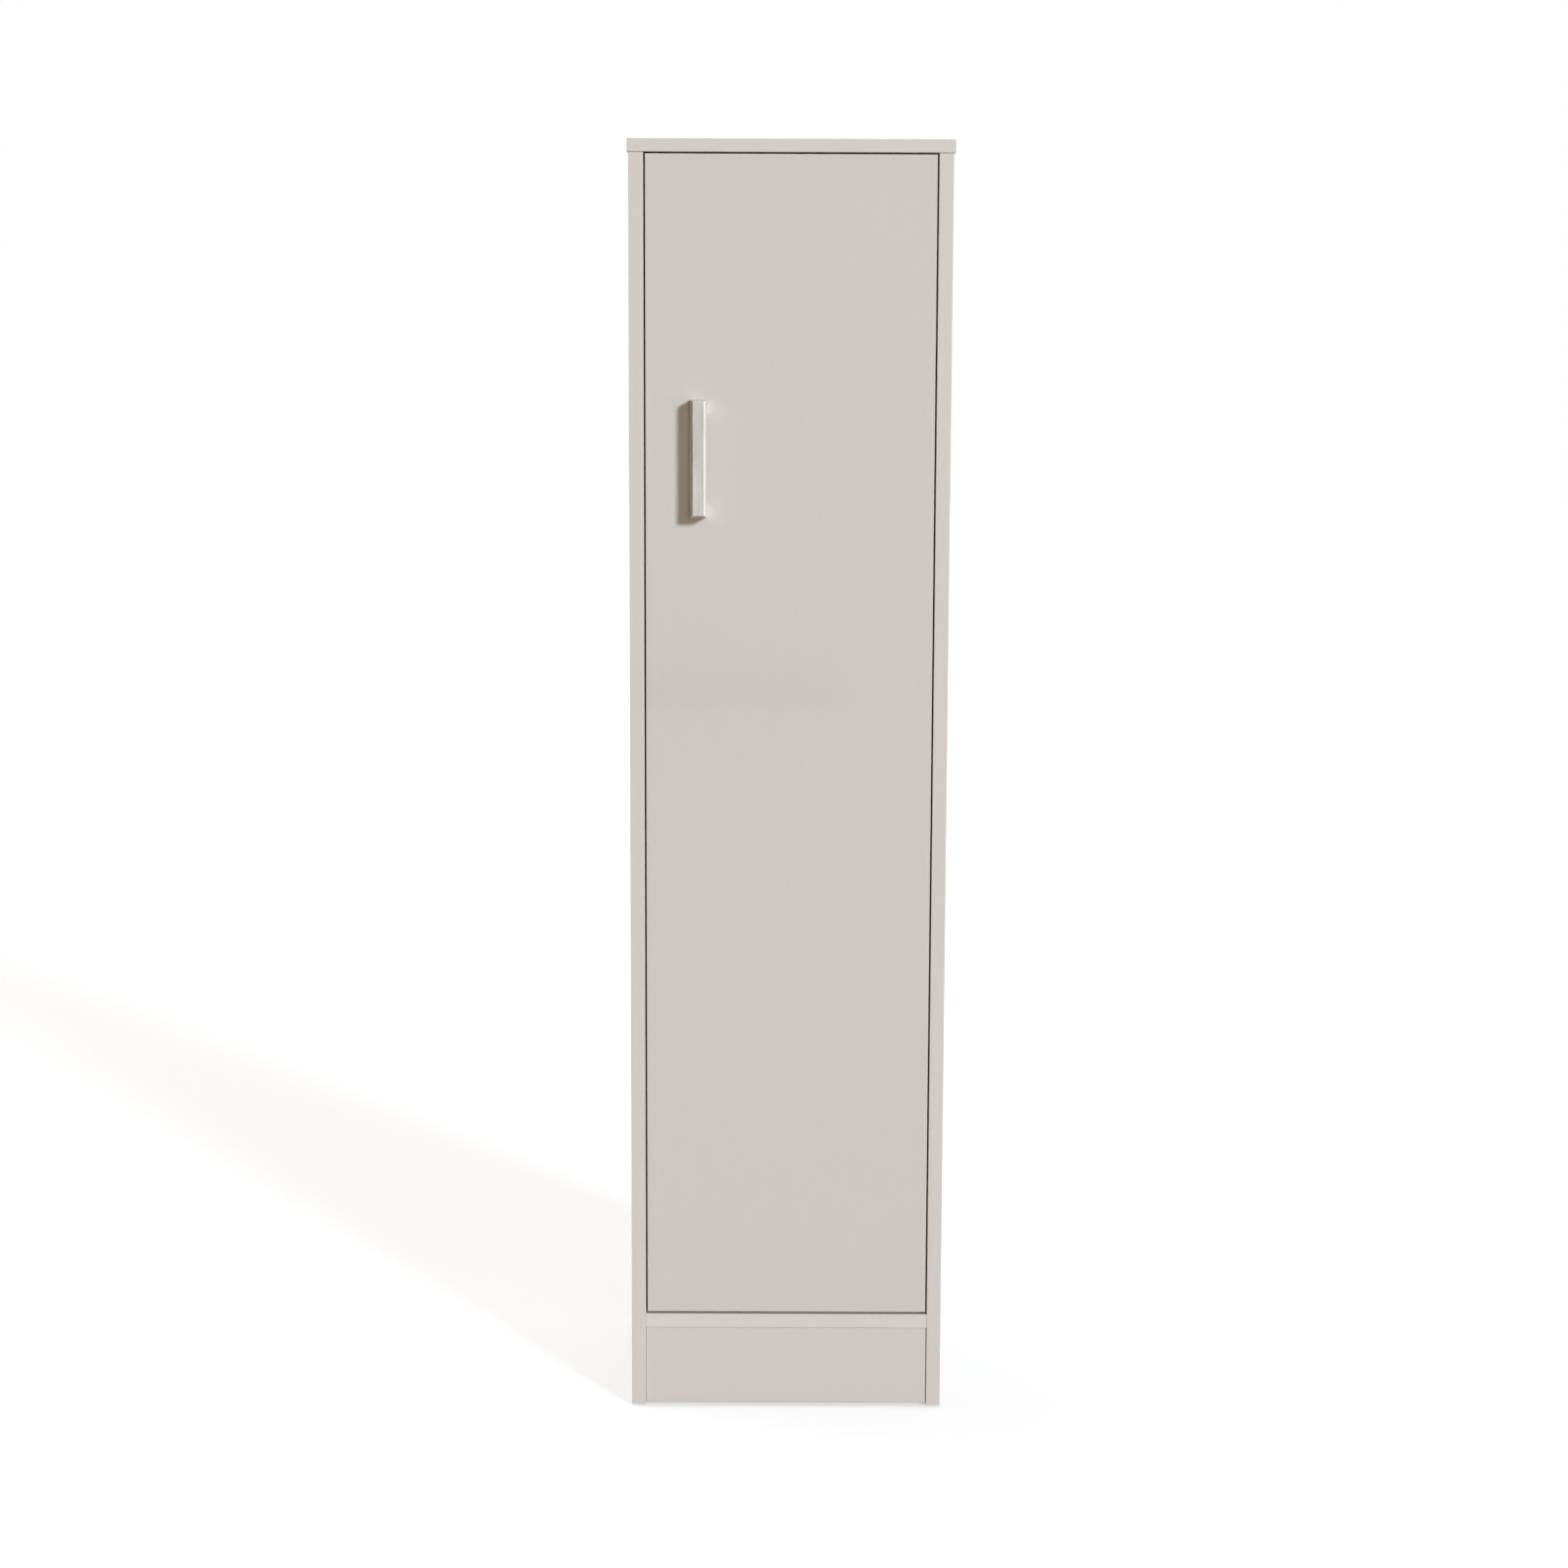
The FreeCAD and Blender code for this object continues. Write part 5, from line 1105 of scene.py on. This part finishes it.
# ------------------------------------------------------------------ door
# One flat board between the side panels, banded on all four edges and drilled at the back for the
# hinge cups and the handle's screws.

melamine_board("door_panel", "Y", [("X", "low"), ("X", "high"), ("Z", "low"), ("Z", "high")])


# ------------------------------------------------------------------ hinge cups
# Three deep-drawn steel bowls sunk in the back of the door, each with a flange and two wings for
# its screws. They are nickel plated, and their floors and rims are drawn to soft corners.

CUP_OUTER = 17.4 * MM
CUP_WALL = 1 * MM
CUP_FLOOR = 6 * MM
CUP_CORNER = 2.2 * MM
FLANGE_TOP = 19.2 * MM
FLANGE_RADIUS = 19 * MM
FLANGE_WING = 7 * MM
FLANGE_HALF = 28 * MM
CUP_SCREW_OFFSET = 9.5 * MM
CUP_SCREW_SPREAD = 22.5 * MM


def hinge_cup():
    """Drawn in the hinge's frame, where +Y points out of the bowl."""
    inner = CUP_OUTER - CUP_WALL
    rim = CUP_WALL / 2
    floor = CUP_FLOOR + CUP_WALL
    small = CUP_CORNER - CUP_WALL
    bowl = turned([
        (0, CUP_FLOOR), *arc(CUP_OUTER - CUP_CORNER, CUP_FLOOR + CUP_CORNER, CUP_CORNER, -90, 0),
        *arc(inner + rim, FLANGE_TOP - rim, rim, 0, 180, 6),
        *arc(inner - small, floor + small, small, 0, -90), (0, floor),
    ], 64)
    bmesh.ops.transform(bowl, matrix=spot_at((CUP_MIDDLE, 0, 0), (0, 1, 0)), verts=bowl.verts)
    wing = CUP_MIDDLE - CUP_SCREW_OFFSET
    near, far = FLANGE_WING - CUP_SCREW_OFFSET, FLANGE_WING + CUP_SCREW_OFFSET
    right = math.degrees(math.acos(near / FLANGE_RADIUS))
    left = math.degrees(math.acos(far / FLANGE_RADIUS))
    straight = FLANGE_HALF - FLANGE_WING
    flange = drawn([
        *arc(CUP_MIDDLE, 0, FLANGE_RADIUS, -right, right, 40),
        *arc(wing, straight, FLANGE_WING, 0, 180, 16),
        *arc(CUP_MIDDLE, 0, FLANGE_RADIUS, 180 - left, 180 + left, 12),
        *arc(wing, -straight, FLANGE_WING, 180, 360, 16),
    ], DOOR_THICK, FLANGE_TOP, "Y")
    holes = [rod("Y", CUP_MIDDLE, 0, inner + CUP_WALL * 0.6, 0, 2 * FLANGE_TOP, 64)]
    holes += [rod("Y", wing, side * CUP_SCREW_SPREAD, SCREW_HOLE, 0, 2 * FLANGE_TOP, 24)
              for side in (-1, 1)]
    return together(shaped(flange, taken=holes), bowl)


hinge_pieces("drawn_hinge_cups", hinge_cup(), "hinge_cups", "door")
zinc_fixings("hinge_cup_wood_screws", small_screw(FLANGE_TOP - DOOR_THICK), "hinge_cup_screws",
             "door")


# ------------------------------------------------------------------ handle
# A bow handle die-cast in zinc: a flat bar with a bevel round its face, on two square legs. It is
# brushed along its length and nickel plated to a satin sheen, and screwed on from behind the door.

NICKEL_PALE = "F2ECE5"
NICKEL_DEEP = "DAD2C9"
BRUSHING = 2.4 * MM      # the broadest brush lines; the finest are a twentieth of that
BRUSH_LENGTH = 70 * MM
BRUSH_DEPTH = 0.02 * MM
HANDLE_BAR = 8.5 * MM
HANDLE_LEG = 16 * MM
HANDLE_BEVEL = 2.8 * MM
HANDLE_INNER_ROUND = 5 * MM
HANDLE_SOFT = 0.45 * MM
HANDLE_SCREW_SHANK = 1.95 * MM
HANDLE_SCREW_BITE = 9 * MM
HANDLE_SCREW_HEAD = 4 * MM
HANDLE_SCREW_PITCH = 0.7 * MM


def satin_nickel():
    """Brushed and plated: fine lines along the bar that spread the highlight across it."""
    material, tree, shader = new_material("satin_nickel_on_zinc")
    place = add(tree, "TexCoord").outputs["Object"]
    stretch = (1 / BRUSHING, 1 / BRUSHING, 1 / BRUSH_LENGTH)
    laid = add(tree, "VectorMath", {0: place, 1: stretch}, operation="MULTIPLY").outputs[0]
    lines = add(tree, "TexNoise", {"Vector": laid, "Scale": 1.0, "Detail": 5.0, "Roughness": 0.7})
    tone = add(tree, "MapRange", {0: lines.outputs["Fac"], 1: 0.3, 2: 0.7})
    colour = blend_colours(tree, tone.outputs[0], linear(NICKEL_DEEP), linear(NICKEL_PALE))
    rough = add(tree, "MapRange", {0: lines.outputs["Fac"], 3: 0.26, 4: 0.38})
    dress(tree, shader, colour, rough.outputs[0], lines.outputs["Fac"], BRUSH_DEPTH)
    shader.inputs["Metallic"].default_value = 1.0
    return material


def bow_handle():
    """Its side view is drawn in Y and Z, stretched to the bar's width, and bevelled at the face."""
    low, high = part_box("handle")
    hollow = low.y + HANDLE_BAR + HANDLE_INNER_ROUND
    inside_low, inside_high = low.z + HANDLE_LEG, high.z - HANDLE_LEG
    bar = drawn([
        (high.y, low.z), (high.y, inside_low),
        *arc(hollow, inside_low + HANDLE_INNER_ROUND, HANDLE_INNER_ROUND, -90, -180),
        *arc(hollow, inside_high - HANDLE_INNER_ROUND, HANDLE_INNER_ROUND, -180, -270),
        (high.y, inside_high), (high.y, high.z), (low.y, high.z), (low.y, low.z),
    ], low.x, high.x, "X")
    face_edges = [edge for edge in bar.edges if all(v.co.y < low.y + MM / 10 for v in edge.verts)]
    bevel(bar, face_edges, HANDLE_BEVEL, 1)
    piece = set_out("bow_handle", bar, [Matrix()], satin_nickel(), "door", "handle")
    soften(piece, HANDLE_SOFT, 25)


bow_handle()
handle_screw = cross_screw(HANDLE_SCREW_SHANK, DOOR_THICK + HANDLE_SCREW_BITE, HANDLE_SCREW_HEAD,
                           HANDLE_SCREW_PITCH, pointed=False)
zinc_fixings("handle_machine_screws", handle_screw, "handle_screws", "door")


# ------------------------------------------------------------------ studio
# A pale floor that holds the cupboard's shadow and a white surround. The key lamp stands high on
# the right, with weaker ones in front, behind on the left and overhead. Four cards, on the left,
# in front, above and below, show only as reflections, and give the handle's bevels their edges.

WHITE = (1, 1, 1, 1)
AMBIENT = 0.13
AMBIENT_TINT = "FFEACB"


def seen_directly(tree):
    """1 for rays from the camera, and for those that metal or glass sends straight on."""
    path = add(tree, "LightPath").outputs
    seen = path["Is Camera Ray"]
    for kind in ("Is Glossy Ray", "Is Transmission Ray"):
        seen = add(tree, "Math", {0: seen, 1: path[kind]}, operation="MAXIMUM").outputs[0]
    first = add(tree, "Math", {0: path["Diffuse Depth"], 1: 0.5}, operation="LESS_THAN").outputs[0]
    return add(tree, "Math", {0: seen, 1: first}, operation="MULTIPLY").outputs[0]


def surround():
    world = bpy.data.worlds.new("white_surround")
    bpy.context.scene.world = world
    world.use_nodes = True
    tree = world.node_tree
    seen = seen_directly(tree)
    back = tree.nodes["Background"]
    tint = blend_colours(tree, seen, linear(AMBIENT_TINT), WHITE)
    strength = add(tree, "Mix", {0: seen, 2: AMBIENT, 3: 1.0}, data_type="FLOAT")
    tree.links.new(tint, back.inputs["Color"])
    tree.links.new(strength.outputs[0], back.inputs["Strength"])


surround()

FLOOR_HALF = 30.0
FLOOR_BOUNCE = "93887A"
FLOOR_TONE = "D0D0D0"
FLOOR_LIFT = 0.53
FLOOR_LIFT_TINT = "FCFDFE"


def studio_floor():
    """A pale matt floor: what it throws back on the cupboard is warm, and what is seen of it is
    brightened to white but still dark in shadow."""
    mesh = bmesh.new()
    bmesh.ops.create_grid(mesh, x_segments=2, y_segments=2, size=FLOOR_HALF)
    data = as_mesh(mesh, "studio_floor")
    material, tree, shader = new_material("matt_floor")
    seen = seen_directly(tree)
    colour = blend_colours(tree, seen, linear(FLOOR_BOUNCE), linear(FLOOR_TONE))
    tree.links.new(colour, shader.inputs["Base Color"])
    shader.inputs["Roughness"].default_value = 0.9
    lift = add(tree, "Math", {0: seen, 1: FLOOR_LIFT}, operation="MULTIPLY")
    shader.inputs["Emission Color"].default_value = linear(FLOOR_LIFT_TINT)
    tree.links.new(lift.outputs[0], shader.inputs["Emission Strength"])
    data.materials.append(material)
    floor = bpy.data.objects.new("studio_floor", data)
    bpy.context.scene.collection.objects.link(floor)


studio_floor()


def card(name, colour, corners):
    """A flat card that shows only in reflections."""
    data = bpy.data.meshes.new(name)
    data.from_pydata(corners, [], [range(len(corners))])
    material = bpy.data.materials.new(name)
    material.use_nodes = True
    tree = material.node_tree
    tree.nodes.clear()
    glow = add(tree, "Emission", {"Color": linear(colour), "Strength": 1.0})
    end = add(tree, "OutputMaterial")
    tree.links.new(glow.outputs[0], end.inputs["Surface"])
    data.materials.append(material)
    piece = bpy.data.objects.new(name, data)
    piece.visible_camera = False
    piece.visible_diffuse = False
    piece.visible_shadow = False
    piece.visible_transmission = False
    bpy.context.scene.collection.objects.link(piece)


card("left_card", "766F65",
     [(-2.5, -3.6, -1.0), (-2.5, 1.5, -1.0), (-2.5, 1.5, 3.5), (-2.5, -3.6, 3.5)])
card("front_card", "C1C1C1",
     [(-4.0, -6.0, -1.0), (3.0, -6.0, -1.0), (3.0, -6.0, 4.0), (-4.0, -6.0, 4.0)])
card("high_card", "E0DDD9",
     [(-1.5, -2.0, 3.2), (1.5, -2.0, 3.2), (1.5, 0.5, 3.2), (-1.5, 0.5, 3.2)])
card("low_card", "5A564F",
     [(-0.3, -0.36, 0.9), (0.08, -0.36, 0.9), (0.08, -0.17, 0.9), (-0.3, -0.17, 0.9)])


def sun(name, towards, colour, strength, spread, sheen=True):
    """A lamp far away in the given direction, as wide as spread in degrees."""
    light = bpy.data.lights.new(name, "SUN")
    light.color = linear(colour)[:3]
    light.energy = strength
    light.angle = math.radians(spread)
    lamp = bpy.data.objects.new(name, light)
    lamp.rotation_mode = "QUATERNION"
    lamp.rotation_quaternion = Vector(towards).to_track_quat("Z", "Y")
    lamp.visible_glossy = sheen
    bpy.context.scene.collection.objects.link(lamp)


sun("key_lamp", (0.70, -1.0, 0.40), "ECF4FF", 2.95, 11)
sun("front_lamp", (0.155, -1.0, 0.05), "FFEFCB", 0.42, 12, sheen=False)
sun("rear_lamp", (-0.95, 0.6, 0.15), "FBFCFF", 2.8, 40)
sun("top_lamp", (0.0, 0.1, 1.0), "FFFFFF", 1.2, 30, sheen=False)


# ------------------------------------------------------------------ camera
# A long lens at the height of a seated person's eyes, a little left of the middle, looking
# slightly down.

PICTURE = 1600           # the picture's side, in pixels
FOCAL_PIXELS = 2932
SENSOR = 36.0
DISTANCE = 3.559         # in front of the body's front edges
SIDEWAYS = -0.0133
EYE_HEIGHT = 1.301
PITCH = math.radians(7.856)
YAW = math.radians(0.122)
ROLL = math.radians(0.233)


def camera():
    lens = bpy.data.cameras.new("camera")
    lens.sensor_width = SENSOR
    lens.lens = FOCAL_PIXELS / PICTURE * SENSOR
    front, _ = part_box("left_side_panel")
    forward = Vector((math.sin(YAW) * math.cos(PITCH), math.cos(YAW) * math.cos(PITCH),
                      -math.sin(PITCH)))
    level = Vector((math.cos(YAW), -math.sin(YAW), 0))
    upright = level.cross(forward)
    right = math.cos(ROLL) * level + math.sin(ROLL) * upright
    up = right.cross(forward)
    turn = Matrix((right, up, -forward)).transposed()
    eye = bpy.data.objects.new("camera", lens)
    eye.location = (SIDEWAYS, front.y - DISTANCE, EYE_HEIGHT)
    eye.rotation_euler = turn.to_euler()
    bpy.context.scene.collection.objects.link(eye)
    bpy.context.scene.camera = eye


camera()
bpy.context.scene.view_settings.view_transform = "Standard"
